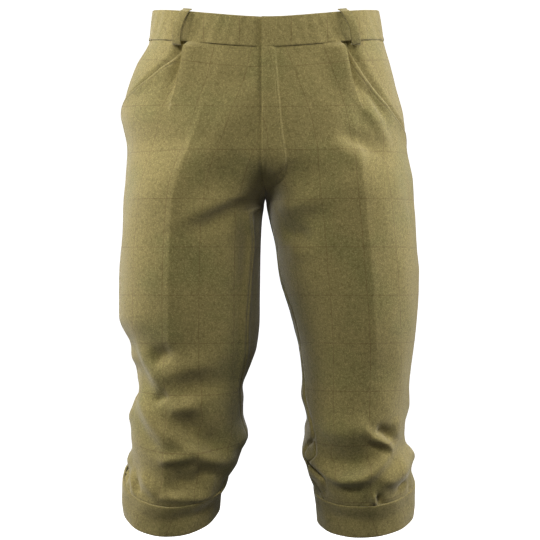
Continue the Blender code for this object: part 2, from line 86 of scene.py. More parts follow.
POCKET_STITCH_INSET = 7.0
FLY_STITCH_INSET = 4.5
FACING_RUNS_ON = 6.0

# How the rows and columns of cloth are spaced.
KNEE_ROWS_FROM = -468.0
SEAM_COLUMNS = (0.0, 0.9, 2.0, 3.4)

# Pleats, creases and the ditch along each seam.
PLEAT_HEIGHT = 8.0
PLEAT_STEP = 1.4
PLEAT_OVERHANG = 3.0
PLEAT_FOOT = -152.0
PLEAT_TURN_RADIUS = 130.0
CREASE_HEIGHT = 3.6
CREASE_REACH = 12.0
INSEAM_CORNER = 5.0
INSEAM_CORNER_REACH = 8.5
SEAM_DEPTH = 1.5
SEAM_REACH = 2.2

# The windowpane check: one thin line every so far across and along the cloth.
CHECK_ACROSS = 52.0
CHECK_ALONG = 67.0
CHECK_LINE = 0.85
TWILL_PITCH = 2.1
CHECK_DROP = 3.0

Section = namedtuple("Section", "level outer inner front back tilt roll", defaults=(0, 0))
RIGHT_SECTIONS = [
    Section(0, 161, 0, 112, 112),
    Section(-42, 166, 0, 115, 118),
    Section(-80, 186, 0, 119, 131),
    Section(-115, 199, 0, 121, 141),
    Section(-150, 206, 0, 122, 149),
    Section(-200, 199, 0, 121, 153),
    Section(-240, 201, 0, 117, 148),
    Section(-274, 203, 1.5, 113, 138),
    Section(-300, 204, 5, 110, 127),
    Section(-370, 209, 7.5, 104, 112),
    Section(-435, 209.5, 8, 97, 104),
    Section(-480, 192, 13, 90, 100),
    Section(-528, 184, 28, 83, 97, 3, 0),
    Section(-575, 192, 32, 83, 96, 8, 0),
    Section(-605, 196, 29, 82, 95, 13, 0),
    Section(-635, 192, 36, 78, 90, 20, 0),
    Section(-660, 202, 50, 70, 83, 26, -1),
    Section(-690, 205.5, 64, 58, 72, 28, -1.5),
    Section(-730, 203, 66, 56, 70, 28, -1.5),
]
LEFT_SECTIONS = [
    Section(0, 162, 0, 112, 112),
    Section(-42, 169, 0, 115, 118),
    Section(-80, 180, 0, 119, 131),
    Section(-115, 189, 0, 121, 141),
    Section(-150, 198, 0, 122, 149),
    Section(-200, 204, 0, 121, 153),
    Section(-240, 211, 0, 117, 148),
    Section(-274, 213, 1, 113, 138),
    Section(-300, 215, 6, 110, 127),
    Section(-338, 217.5, 14, 107, 118),
    Section(-373, 220, 19, 104, 112),
    Section(-442, 217, 38, 96, 104),
    Section(-480, 213, 48, 91, 100),
    Section(-528, 207, 53, 85, 97),
    Section(-579, 204, 55, 83, 96, 3, 1),
    Section(-615, 200, 57, 82, 95, 8, 2),
    Section(-645, 213, 57, 80, 91, 13, 3),
    Section(-672, 213, 68, 70, 83, 17, 3.5),
    Section(-702, 214, 73, 58, 72, 19, 3.5),
    Section(-745, 212, 75, 56, 70, 19, 3.5),
]

# A line down the leg: how far it lies from the body's middle at each level.
Line = namedtuple("Line", "level across")
RIGHT_CREASE = [
    Line(-41, 60), Line(-93, 72), Line(-131, 84), Line(-186, 100), Line(-240, 121),
    Line(-274, 127), Line(-340, 132), Line(-477, 134), Line(-560, 130), Line(-640, 138), Line(-720, 150),
]
LEFT_CREASE = [
    Line(-41, 86), Line(-100, 106), Line(-154, 121), Line(-235, 133), Line(-311, 141),
    Line(-370, 146), Line(-451, 152), Line(-503, 154), Line(-600, 153), Line(-660, 156), Line(-730, 163),
]
RIGHT_PLEAT = [
    Line(-41, 106), Line(-63, 110), Line(-85, 116), Line(-110, 123), Line(-130, 130), Line(-165, 139),
    Line(-240, 150), Line(-340, 158), Line(-477, 158), Line(-560, 152), Line(-640, 158), Line(-720, 170),
]
LEFT_PLEAT = [
    Line(-41, 103), Line(-69, 110), Line(-95, 116), Line(-120, 125), Line(-150, 138), Line(-190, 154),
    Line(-240, 163), Line(-340, 170), Line(-451, 176), Line(-600, 176), Line(-660, 178), Line(-730, 184),
]

# The front's edge at the slanted pocket: its bearing at each level, ending at the side seam.
Edge = namedtuple("Edge", "level bearing")
RIGHT_POCKET = [
    Edge(-36, 50), Edge(-67, 54), Edge(-82, 59), Edge(-100, 65), Edge(-114, 72), Edge(-128, 80), Edge(-170, 95),
]
LEFT_POCKET = [
    Edge(-36, 50), Edge(-86, 55), Edge(-112, 60), Edge(-138, 66), Edge(-160, 74), Edge(-180, 84), Edge(-200, 95),
]

# A fold is a curve on one face of the garment, through places given as (across, z). On the front and back,
# across is measured from the body's middle. On the outer and inner faces it is measured from the waist's centre
# towards the back. high is a ridge's height or, when negative, a trough's depth. below is how deep the
# hollow under it is, as a share of high. lean tips the crest downhill by that share of high.
Fold = namedtuple("Fold", "path wide high below lean", defaults=(0, 0))
RIGHT_FOLDS = {
    "front": [
        # from the crotch, up and out across the lap
        Fold([(22, -213), (47, -230), (101, -256)], 26, -4.5),
        Fold([(14, -262), (47, -267), (79, -282), (117, -304)], 13, 4.5, 0.4, 0.2),
        Fold([(37, -292), (69, -308), (112, -318)], 14, -2.5),
        Fold([(15, -125), (69, -182), (115, -236)], 26, 2.5),
        Fold([(15, -103), (37, -108), (69, -98)], 14, -1.2),
        Fold([(63, -391), (47, -370), (66, -346)], 16, 2),
        # where the leg bends and blouses at the knee
        Fold([(182, -464), (168, -493), (154, -516), (140, -535)], 13, 4.4, 0.3),
        Fold([(159, -495), (146, -491), (127, -481)], 11, -5.5),
        Fold([(148, -521), (124, -513), (99, -504), (69, -496)], 14, 3.5, 0.3, 0.1),
        Fold([(125, -540), (98, -536), (48, -530)], 15, -5),
        Fold([(161, -555), (148, -550), (135, -544)], 8, -4.5),
        Fold([(181, -546), (168, -568), (154, -589), (141, -607), (135, -628)], 13, 4.8, 0.3),
        Fold([(136, -583), (112, -588), (84, -588)], 15, -5),
        Fold([(137, -564), (115, -564), (88, -558)], 10, 3, 0.3, 0.1),
        Fold([(135, -593), (111, -614), (90, -627), (65, -636), (37, -640)], 12, 6.5, 0.2),
        Fold([(130, -596), (102, -606), (75, -617), (42, -626)], 22, -12),
        Fold([(99, -652), (74, -660), (49, -668)], 13, -4),
        Fold([(153, -639), (131, -636), (111, -633), (102, -627)], 8, 4.5, 0.1),
        Fold([(144, -666), (108, -671), (70, -674)], 21, -13),
        Fold([(152, -689), (111, -690), (68, -692)], 8, 4.5),
        Fold([(185, -660), (183, -672), (179, -688)], 4.5, -4.5),
        Fold([(192, -649), (190, -665), (185, -683)], 6, 2.5, 0.2),
        Fold([(175, -652), (165, -671), (150, -686)], 9, 3, 0.3, 0.1),
    ],
    "outer": [
        Fold([(-52, -502), (-20, -492), (15, -500)], 11, 2.5, 0.5, 0.2),
        Fold([(-30, -552), (0, -540), (50, -548)], 12, -3.5),
        Fold([(-25, -584), (0, -578), (50, -590)], 12, 3, 0.4, 0.2),
        Fold([(-20, -612), (5, -618), (55, -606)], 11, -4),
        Fold([(-20, -646), (10, -640), (60, -626)], 11, 3.5, 0.5, 0.3),
        Fold([(-20, -668), (0, -664), (50, -650)], 9, -3.5),
    ],
    "inner": [
        Fold([(-45, -540), (0, -536), (50, -545)], 12, -2.5),
        Fold([(-45, -618), (0, -606), (50, -596)], 13, 3, 0.5, 0.3),
        Fold([(-20, -650), (10, -640), (50, -622)], 10, -3),
    ],
    "back": [
        # the seat and the back of the knee
        Fold([(30, -246), (90, -262), (165, -238)], 24, -6),
        Fold([(42, -292), (95, -304), (150, -292)], 16, 3.5, 0.4, 0.2),
        Fold([(30, -322), (70, -336), (110, -330)], 14, -2.5),
        Fold([(22, -474), (70, -486), (130, -478), (185, -462)], 12, 4, 0.5, 0.2),
        Fold([(30, -500), (95, -514), (165, -498)], 11, -5),
        Fold([(36, -530), (80, -524), (130, -536), (172, -528)], 10, 6, 0.6, 0.4),
        Fold([(60, -556), (105, -548), (160, -556)], 9, -4.5),
        Fold([(42, -578), (90, -566), (140, -574), (178, -588)], 10, 6, 0.6, 0.4),
        Fold([(70, -604), (125, -610), (172, -596)], 10, -5),
        Fold([(60, -622), (115, -630), (172, -614)], 9, 5, 0.5, 0.3),
    ],
}
LEFT_FOLDS = {
    "front": [
        # the hip, and from the crotch across the lap
        Fold([(84, -193), (113, -208), (140, -226)], 15, 3.2),
        Fold([(97, -178), (135, -195), (172, -214)], 10, -2.5),
        Fold([(128, -130), (146, -152), (163, -180), (178, -208)], 11, 3),
        Fold([(134, -112), (152, -134), (168, -160)], 8, -2.2),
        Fold([(22, -222), (49, -236), (105, -226)], 26, -3.8),
        Fold([(18, -286), (45, -276), (90, -266)], 17, 4.5, 0.3, 0.1),
        Fold([(20, -318), (40, -321), (66, -324)], 12, -4.5),
        Fold([(30, -346), (50, -346), (80, -342)], 14, 2),
        # the knee
        Fold([(74, -589), (104, -596), (132, -594), (148, -588)], 16, 3.5, 0.2, 0.1),
        Fold([(70, -632), (104, -643), (136, -640), (167, -622)], 21, -11),
        Fold([(143, -594), (151, -605), (163, -610), (172, -616), (178, -628)], 6.5, 5.5, 0.4, 0.1),
        Fold([(154, -594), (167, -598), (179, -607)], 7, -5),
        Fold([
            (64, -642), (88, -656), (110, -664), (136, -661),
            (154, -648), (168, -634), (180, -622),
        ], 10, 7, 0.12),
        Fold([(206, -641), (194, -655), (177, -664), (157, -662)], 11, 3.5, 0.3, 0.2),
        Fold([(150, -682), (151, -691), (154, -704)], 4.5, 3.6, 0.2),
        Fold([(158, -684), (160, -693), (162, -704)], 4.5, -4.5),
        Fold([(58, -552), (67, -602), (59, -622), (62, -648), (80, -666), (84, -692)], 3.2, -4.2),
        Fold([(187, -682), (194, -675), (202, -669)], 4.5, -3.5),
        Fold([(106, -676), (122, -680), (140, -679)], 12, -3),
        Fold([(183, -576), (186, -593), (183, -609)], 12, 2.5, 0.2),
    ],
    "outer": [
        Fold([(-20, -600), (10, -594), (50, -602)], 14, -2.2),
        Fold([(-30, -628), (0, -632), (30, -634), (60, -620)], 13, 2.4, 0.4, 0.1),
        Fold([(-20, -660), (10, -656), (50, -642)], 11, -2),
        Fold([(-30, -556), (0, -562), (50, -552)], 14, 1, 0.4, 0.2),
    ],
    "inner": [
        Fold([(-30, -592), (0, -584), (50, -578)], 11, -3),
        Fold([(-30, -640), (-5, -632), (50, -612)], 12, 3.5, 0.5, 0.3),
        Fold([(-40, -556), (0, -548), (50, -552)], 13, 2, 0.4, 0.2),
    ],
    "back": [
        # the seat and the back of the knee
        Fold([(30, -244), (90, -260), (170, -236)], 24, -6),
        Fold([(50, -290), (100, -304), (160, -296)], 16, 3.5, 0.4, 0.2),
        Fold([(44, -330), (90, -340), (130, -332)], 14, -2.5),
        Fold([(62, -500), (115, -512), (185, -496)], 13, 4, 0.5, 0.2),
        Fold([(62, -530), (120, -542), (190, -528)], 11, -5),
        Fold([(66, -560), (110, -552), (160, -562), (194, -554)], 10, 6, 0.6, 0.4),
        Fold([(80, -580), (130, -574), (186, -582)], 9, -4),
        Fold([(66, -604), (115, -594), (165, -602), (196, -614)], 10, 6, 0.6, 0.4),
        Fold([(84, -628), (140, -634), (190, -620)], 10, -5),
        Fold([(80, -646), (130, -652), (188, -638)], 8, 4.5, 0.5, 0.3),
    ],
}
FOLD_SAMPLES = 26
FOLD_GAIN = 1.35

# The short gathers where a leg goes into its band: bearing of each, and how deep it is.
Gather = namedtuple("Gather", "bearing wide deep")
GATHERS = [
    Gather(62, 5, 3.0), Gather(80, 7, 2.2), Gather(104, 6, 2.6), Gather(131, 7, 2.0), Gather(150, 6, 2.6),
    Gather(176, 8, 2.2), Gather(203, 6, 2.8), Gather(226, 7, 2.2), Gather(247, 6, 2.6), Gather(-84, 6, 2.4),
    Gather(-62, 5, 2.2),
]

# How far forward of the leg's innermost line the inside-leg seam lies, in degrees, at each level.
Turn = namedtuple("Turn", "level forward")
RIGHT_INSEAM = [
    Turn(-274, 0), Turn(-281, 26), Turn(-292, 43), Turn(-341, 37), Turn(-427, 40), Turn(-466, 40), Turn(-502, 37),
    Turn(-528, 33), Turn(-556, 26), Turn(-590, 12), Turn(-640, 6), Turn(-700, 10),
]
LEFT_INSEAM = [
    Turn(-274, 0), Turn(-300, 6), Turn(-380, 15), Turn(-440, 24), Turn(-500, 18), Turn(-560, 25), Turn(-600, 40),
    Turn(-618, 40), Turn(-645, 14), Turn(-668, 34), Turn(-700, 38),
]

Half = namedtuple("Half", "name sign sections crease pleat pocket folds inseam band_level check_from_crease")
RIGHT = Half(
    "right", -1, RIGHT_SECTIONS, RIGHT_CREASE, RIGHT_PLEAT, RIGHT_POCKET, RIGHT_FOLDS, RIGHT_INSEAM, -689.0, 10.0
)
LEFT = Half(
    "left", 1, LEFT_SECTIONS, LEFT_CREASE, LEFT_PLEAT, LEFT_POCKET, LEFT_FOLDS, LEFT_INSEAM, -702.0, -8.0
)
HALVES = (RIGHT, LEFT)

# The fly's stitched edge: how far it lies from the body's middle at each level.
FLY_EDGE = [
    Line(-36, 15), Line(-97, 19), Line(-181, 25.5), Line(-219, 30), Line(-236, 29), Line(-246, 24), Line(-254, 8),
]
FLY_FOOT = -254.0
FLY_TURNS = -236.0
STITCHES_FROM = -44.0

Loop = namedtuple("Loop", "name half bearing lean")
LOOPS = [
    Loop("belt_loop_1", RIGHT, 52.5, 8.0),
    Loop("belt_loop_2", LEFT, 52.5, 11.0),
    Loop("belt_loop_3", RIGHT, 128.0, 0.0),
    Loop("belt_loop_4", LEFT, 128.0, 0.0),
    Loop("belt_loop_5", LEFT, 180.0, 0.0),
]

# A sheet's flat cut, in metres and square metres, and how it is held up.
Cut = namedtuple("Cut", "width length area held rests_on")

# ---------------------------------------------------------------- the form


def smoothstep(t):
    t = np.clip(t, 0.0, 1.0)
    return t * t * (3 - 2 * t)


def bell(distance, reach):
    """1 at no distance, falling smoothly to about a third at the reach."""
    return np.exp(-((distance / reach) ** 2))


def along_table(rows, column, level):
    """The column's value at a level, on a smooth curve through the table's rows that doesn't overshoot."""
    x = -np.array([row.level for row in rows], float)
    y = np.array([getattr(row, column) for row in rows], float)
    width = np.diff(x)
    slope = np.diff(y) / width
    before, after = slope[:-1], slope[1:]
    same_way = before * after > 0
    total = np.where(same_way, before + after, 1.0)
    tangent = np.concatenate([[slope[0]], np.where(same_way, 2 * before * after / total, 0.0), [slope[-1]]])
    at = np.clip(-np.asarray(level, float), x[0], x[-1])
    i = np.clip(np.searchsorted(x, at) - 1, 0, len(width) - 1)
    t = (at - x[i]) / width[i]
    return (
        y[i] * (1 + 2 * t) * (1 - t) ** 2
        + tangent[i] * width[i] * t * (1 - t) ** 2
        + y[i + 1] * t * t * (3 - 2 * t)
        + tangent[i + 1] * width[i] * t * t * (t - 1)
    )


def roundness(level):
    """The section's exponent: 2 is an ellipse, and more is squarer."""
    return ROUND_AT_HIP + (ROUND_AT_KNEE - ROUND_AT_HIP) * smoothstep((-480 - level) / 160.0)


def section_at(half, level):
    """Centre and half-sizes of the half's section, which slides to the body's middle above the fork."""
    outer = along_table(half.sections, "outer", level)
    inner = along_table(half.sections, "inner", level)
    crossing = 1 - smoothstep((level - FORK_LEVEL) / RISE_BLEND)
    centre = crossing * (outer + inner) / (1 + crossing)
    front = along_table(half.sections, "front", level)
    back = along_table(half.sections, "back", level)
    return centre, (back - front) / 2, outer - centre, (back + front) / 2


def base_points(half, bearing, level):
    """Points on the cloth's outer surface before pleats and folds."""
    bearing, level = np.broadcast_arrays(np.asarray(bearing, float), np.asarray(level, float))
    centre_x, centre_y, across, deep = section_at(half, level)
    sine, cosine = np.sin(np.radians(bearing)), np.cos(np.radians(bearing))
    power = roundness(level)
    reach = ((np.abs(sine) / across) ** power + (np.abs(cosine) / deep) ** power) ** (-1 / power)
    x = centre_x + reach * sine
    y = centre_y - reach * cosine
    dip = FRONT_DIP * (1 - smoothstep((level - DIP_FADES) / (DIP_ENDS - DIP_FADES)))
    tilt = np.tan(np.radians(along_table(half.sections, "tilt", level)))
    roll = np.tan(np.radians(along_table(half.sections, "roll", level)))
    z = level - dip * np.clip(cosine, 0, 1) ** 1.5 + tilt * (y - centre_y) + roll * (x - centre_x)
    return np.stack([half.sign * np.maximum(x, 0.0), y, z], axis=-1)


def base_normals(half, bearing, level):
    """Outward normals of that surface."""
    step_turn, step_level = 0.5, 1.5
    round_it = base_points(half, bearing + step_turn, level) - base_points(half, bearing - step_turn, level)
    up = base_points(half, bearing, level + step_level) - base_points(half, bearing, level - step_level)
    return unit(half.sign * np.cross(round_it, up))


def unit(vectors):
    return vectors / np.maximum(np.linalg.norm(vectors, axis=-1, keepdims=True), 1e-9)


def bearing_at(half, across, level):
    """The bearing, on the front, of the point that lies this far from the body's middle."""
    centre_x, _, wide, deep = section_at(half, level)
    x = np.clip(across - centre_x, -0.999 * wide, 0.999 * wide)
    power = roundness(level)
    forward = deep * (1 - (np.abs(x) / wide) ** power) ** (1 / power)
    return np.degrees(np.arctan2(x, forward))


def line_bearing(half, line, level):
    return bearing_at(half, along_table(line, "across", level), level)


def inner_edge(half, level, back):
    """The bearing of a front's or a back's inner edge: the rise seam, and below the fork the inside leg."""
    centre_x, _, wide, deep = section_at(half, level)
    x = -np.minimum(centre_x, wide * 0.99995)
    power = roundness(level)
    forward = deep * (1 - np.minimum(np.abs(x) / wide, 1) ** power) ** (1 / power)
    rise = np.degrees(np.arctan2(x, forward))
    turned = -90.0 + along_table(half.inseam, "forward", level)
    if back:
        return np.where(level > FORK_LEVEL, 180 - rise, turned + 360)
    return np.where(level > FORK_LEVEL, rise, turned)


# ---------------------------------------------------------------- folds


def curve_through(points, samples):
    """Points on a smooth curve through the given ones (Catmull-Rom)."""
    points = np.array(points, float)
    ends = np.concatenate([[2 * points[0] - points[1]], points, [2 * points[-1] - points[-2]]])
    t = np.linspace(0, len(points) - 1 - 1e-9, samples)
    i = t.astype(int)
    t = (t - i)[:, None]
    a, b, c, d = ends[i], ends[i + 1], ends[i + 2], ends[i + 3]
    return 0.5 * (2 * b + (c - a) * t + (2 * a - 5 * b + 4 * c - d) * t**2 + (3 * b - a - 3 * c + d) * t**3)


FACES = {"front": (-89, 89, 0), "back": (91, 269, 0), "outer": (1, 179, 1), "inner": (-179, -1, 1)}


def on_face(half, face, places):
    """Where places on one face of the garment lie on the base surface, and the surface's normals there."""
    first, last, axis = FACES[face]
    bearings = np.linspace(first, last, 90)
    level = places[:, 1].copy()
    for _ in range(5):
        rings = base_points(half, bearings[None, :], level[:, None])
        along = rings[..., axis] * (half.sign if axis == 0 else 1)
        way = 1 if along[0, -1] > along[0, 0] else -1
        bearing = np.array([np.interp(a, row[::way], bearings[::way]) for a, row in zip(places[:, 0], along)])
        point = base_points(half, bearing, level)
        level = level + (places[:, 1] - point[:, 2])
    return point, base_normals(half, bearing, level)


def fold_lines(half):
    """Each of the half's folds with its line on the base surface and the normals along it."""
    lines = []
    for face, folds in half.folds.items():
        for fold in folds:
            line, normals = on_face(half, face, curve_through(fold.path, FOLD_SAMPLES))
            lines.append((fold, line, normals))
    return lines


def fold_shift(half, points, normals):
    """How each point of the base surface moves because of the half's folds."""
    shift = np.zeros_like(points)
    for fold, line, line_normal in FOLD_LINES[half.name]:
        reach = 3.4 * fold.wide
        near = ((points > line.min(0) - reach) & (points < line.max(0) + reach)).all(1)
        index = np.flatnonzero(near & (normals @ line_normal.mean(0) > -0.2))
        if not len(index):
            continue
        start, step = line[:-1], np.diff(line, axis=0)
        offset = points[index, None] - start[None]
        along = np.clip((offset * step).sum(-1) / (step * step).sum(-1), 0, 1)
        away = offset - along[..., None] * step
        nearest = (away * away).sum(-1).argmin(1)
        pick = np.arange(len(index))
        away = away[pick, nearest]
        place = (nearest + along[pick, nearest]) / (FOLD_SAMPLES - 1)
        downhill = unit(np.cross(step, line_normal[:-1]))
        downhill *= np.where(downhill[:, 2:].mean() > 0, -1, 1)
        downhill = downhill[nearest]
        side = np.sign((away * downhill).sum(-1)) * np.linalg.norm(away, axis=1) / fold.wide
        fullness = smoothstep(place / 0.35) ** 0.7 * smoothstep((1 - place) / 0.35) ** 0.7
        crest = np.exp(-np.where(side > 0, (side / 0.85) ** 2, (side / 1.15) ** 2))
        hollow = bell(side - 1.7, 0.85)
        size = FOLD_GAIN * fold.high * (0.15 + 0.85 * fullness)
        lift = size * (crest - fold.below * hollow)
        shift[index] += normals[index] * lift[:, None] + downhill * (fold.lean * size * crest)[:, None]
    return shift


FOLD_LINES = {half.name: fold_lines(half) for half in HALVES}


def drape_noise(points):
    """The small unevenness of cloth that hangs: a few long, crossing waves."""
    x, y, z = points.T
    waves = (
        0.55 * np.sin(0.047 * x + 0.021 * z + 0.7) * np.sin(0.019 * x - 0.031 * z + 0.05 * y)
        + 0.35 * np.sin(0.091 * x - 0.043 * z + 0.037 * y + 2.1)
        + 0.25 * np.sin(0.058 * z + 0.121 * y + 0.083 * x + 4.0)
        + 0.12 * np.sin(0.23 * x + 0.11 * z + 1.3) * np.sin(0.19 * z - 0.17 * y)
    )
    return waves


def pleat_lift(half, bearing, level):
    """The front pleat: how far its edge stands proud, and how far it hangs over towards the hip."""
    wide = np.minimum(section_at(half, level)[2], PLEAT_TURN_RADIUS)
    arc = np.radians(bearing - line_bearing(half, half.pleat, level)) * wide
    strength = smoothstep((level - PLEAT_FOOT) / (-WAISTBAND_HEIGHT - PLEAT_FOOT)) ** 0.8
    strength = strength * (0.25 + 0.75 * smoothstep((-WAISTBAND_HEIGHT - level) / 10.0))
    layer = bell(np.minimum(arc, 0), 17.0) * (arc <= 0.01)
    under = 0.9 * bell(arc - 6.0, 7.0) * smoothstep(arc / 1.5)
    overhang = PLEAT_OVERHANG * strength * bell(arc, 1.5) * (arc <= 0.01)
    return PLEAT_HEIGHT * strength * (layer - under), overhang


def crease_lift(half, bearing, level):
    """The pressed creases down the middle of the front and the back of each leg."""
    wide = section_at(half, level)[2]
    crease = line_bearing(half, half.crease, level)
    front = np.abs(np.radians(bearing - crease)) * wide
    back = np.abs(np.radians(bearing - 180 + crease * 0.6)) * wide
    fade = smoothstep((-95 - level) / 170.0) * smoothstep((level + 515) / 60.0)
    ridge = np.exp(-np.sqrt(front**2 + 0.8) / CREASE_REACH) + 0.7 * np.exp(-np.sqrt(back**2 + 0.8) / CREASE_REACH)
    return CREASE_HEIGHT * fade * ridge


def gather_lift(half, bearing, level):
    """Short puckers above the knee band."""
    top = half.band_level + BAND_HEIGHT / 2
    near = smoothstep((top + 34 - level) / 30.0)
    turn = (bearing + 180.0) % 360.0 - 180.0
    lift = np.zeros_like(bearing)
    for gather in GATHERS:
        off = (turn - gather.bearing + 180.0) % 360.0 - 180.0
        lift -= gather.deep * (bell(off, gather.wide) - 0.4 * bell(off, 2 * gather.wide))
    return lift * near


def cloth_points(half, bearing, level):
    """Points of the draped cloth's outer face."""
    shape = bearing.shape
    bearing, level = bearing.ravel(), level.ravel()
    points = base_points(half, bearing, level)
    normals = base_normals(half, bearing, level)
    top = half.band_level + BAND_HEIGHT / 2
    free = smoothstep((level - top + 2) / 8.0) * smoothstep((-WAISTBAND_HEIGHT - 2 - level) / 26.0)
    pinned = smoothstep(np.abs(points[:, 0]) / 14.0)
    shift = fold_shift(half, points, normals) * (free * pinned)[:, None]
    lift, overhang = pleat_lift(half, bearing, level)
    lift = lift + crease_lift(half, bearing, level) * free + gather_lift(half, bearing, level) * free
    lift = lift + drape_noise(points) * free * pinned
    lift = lift - LEG_INSET * (1 - smoothstep((level - top + 9) / 11.0))
    lift = lift - WAIST_TUCK * smoothstep((level + WAISTBAND_HEIGHT + 3.0) / 3.0)
    around = unit(base_points(half, bearing + 0.5, level) - base_points(half, bearing - 0.5, level))
    moved = points + shift + normals * lift[:, None] + around * overhang[:, None]
    moved[:, 0] = half.sign * np.maximum(half.sign * moved[:, 0], 0.0)
    return moved.reshape(*shape, 3)


# ---------------------------------------------------------------- meshes


def grid_normals(grid, outward):
    """Unit normals of a grid of points, on the side that outward (a point's rough direction) looks to."""
    down = np.gradient(grid, axis=0)
    across = np.gradient(grid, axis=1)
    normals = unit(np.cross(across, down))
    if (normals * outward).sum() < 0:
        normals = -normals
    return normals


def make_mesh(name, points, faces, uvs, material, sharp=55.0):
    """A closed mesh of these points (millimetres), with its cloth coordinates (millimetres) by point."""
    mesh = bpy.data.meshes.new(name)
    mesh.from_pydata([tuple(p) for p in points * MM], [], faces)
    piece = bpy.data.objects.new(name, mesh)
    bpy.context.scene.collection.objects.link(piece)
    corner_vertex = np.zeros(len(mesh.loops), np.int32)
    mesh.loops.foreach_get("vertex_index", corner_vertex)
    layer = mesh.uv_layers.new(name="cloth")
    layer.uv.foreach_set("vector", (uvs[corner_vertex] * MM).astype(np.float32).ravel())
    mesh.materials.append(material)
    mesh.calc_loop_triangles()
    corners = np.zeros(len(mesh.loop_triangles) * 3, np.int32)
    mesh.loop_triangles.foreach_get("vertices", corners)
    triangle = (points * MM)[corners.reshape(-1, 3)]
    if np.einsum("ij,ij->i", triangle[:, 0], np.cross(triangle[:, 1], triangle[:, 2])).sum() < 0:
        mesh.flip_normals()
    mesh.shade_smooth()
    mesh.set_sharp_from_angle(angle=np.radians(sharp))
    mesh.update()
    return piece


def shell(name, outer, thickness, uv, material, outward):
    """Cloth of this thickness behind a grid of points, closed round its rim."""
    rows, columns = outer.shape[:2]
    inner = outer - grid_normals(outer, outward) * thickness
    points = np.concatenate([outer.reshape(-1, 3), inner.reshape(-1, 3)])
    layer = rows * columns
    number = np.arange(layer).reshape(rows, columns)
    front = np.stack([number[:-1, :-1], number[1:, :-1], number[1:, 1:], number[:-1, 1:]], -1).reshape(-1, 4)
    faces = [front, front[:, ::-1] + layer]
    rim = np.concatenate([number[0, :], number[1:, -1], number[-1, -2::-1], number[-2:0:-1, 0]])
    after = np.roll(rim, -1)
    faces.append(np.stack([rim, after, after + layer, rim + layer], -1))
    uvs = np.concatenate([uv.reshape(-1, 2)] * 2)
    return make_mesh(name, points, np.concatenate(faces).tolist(), uvs, material)


def loft(name, grid, uv, material):
    """A solid strip: grid[k, i] is point k of the closed profile at station i. Its ends are capped."""
    profile, stations = grid.shape[:2]
    number = np.arange(profile * stations).reshape(profile, stations)
    after = np.roll(number, -1, axis=0)
    sides = np.stack([number[:, :-1], after[:, :-1], after[:, 1:], number[:, 1:]], -1).reshape(-1, 4).tolist()
    caps = [number[:, 0].tolist(), number[::-1, -1].tolist()]
    return make_mesh(name, grid.reshape(-1, 3), sides + caps, uv.reshape(-1, 2), material)


def arc_lengths(grid):
    """Distance along each row of a grid, from its first column."""
    steps = np.linalg.norm(np.diff(grid, axis=1), axis=2)
    return np.concatenate([np.zeros((len(grid), 1)), np.cumsum(steps, axis=1)], axis=1)


def finish_piece(piece, slot, *nodes):
    if nodes:
        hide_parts(*nodes)
    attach(piece, "root")
    return piece


# ---------------------------------------------------------------- materials


# The yarns' colours, linear.
OLIVE = (0.205, 0.170, 0.062)
STRAW = (0.400, 0.335, 0.135)
BARK = (0.078, 0.060, 0.020)
MOSS = (0.168, 0.152, 0.052)
RUST = (0.080, 0.034, 0.014)


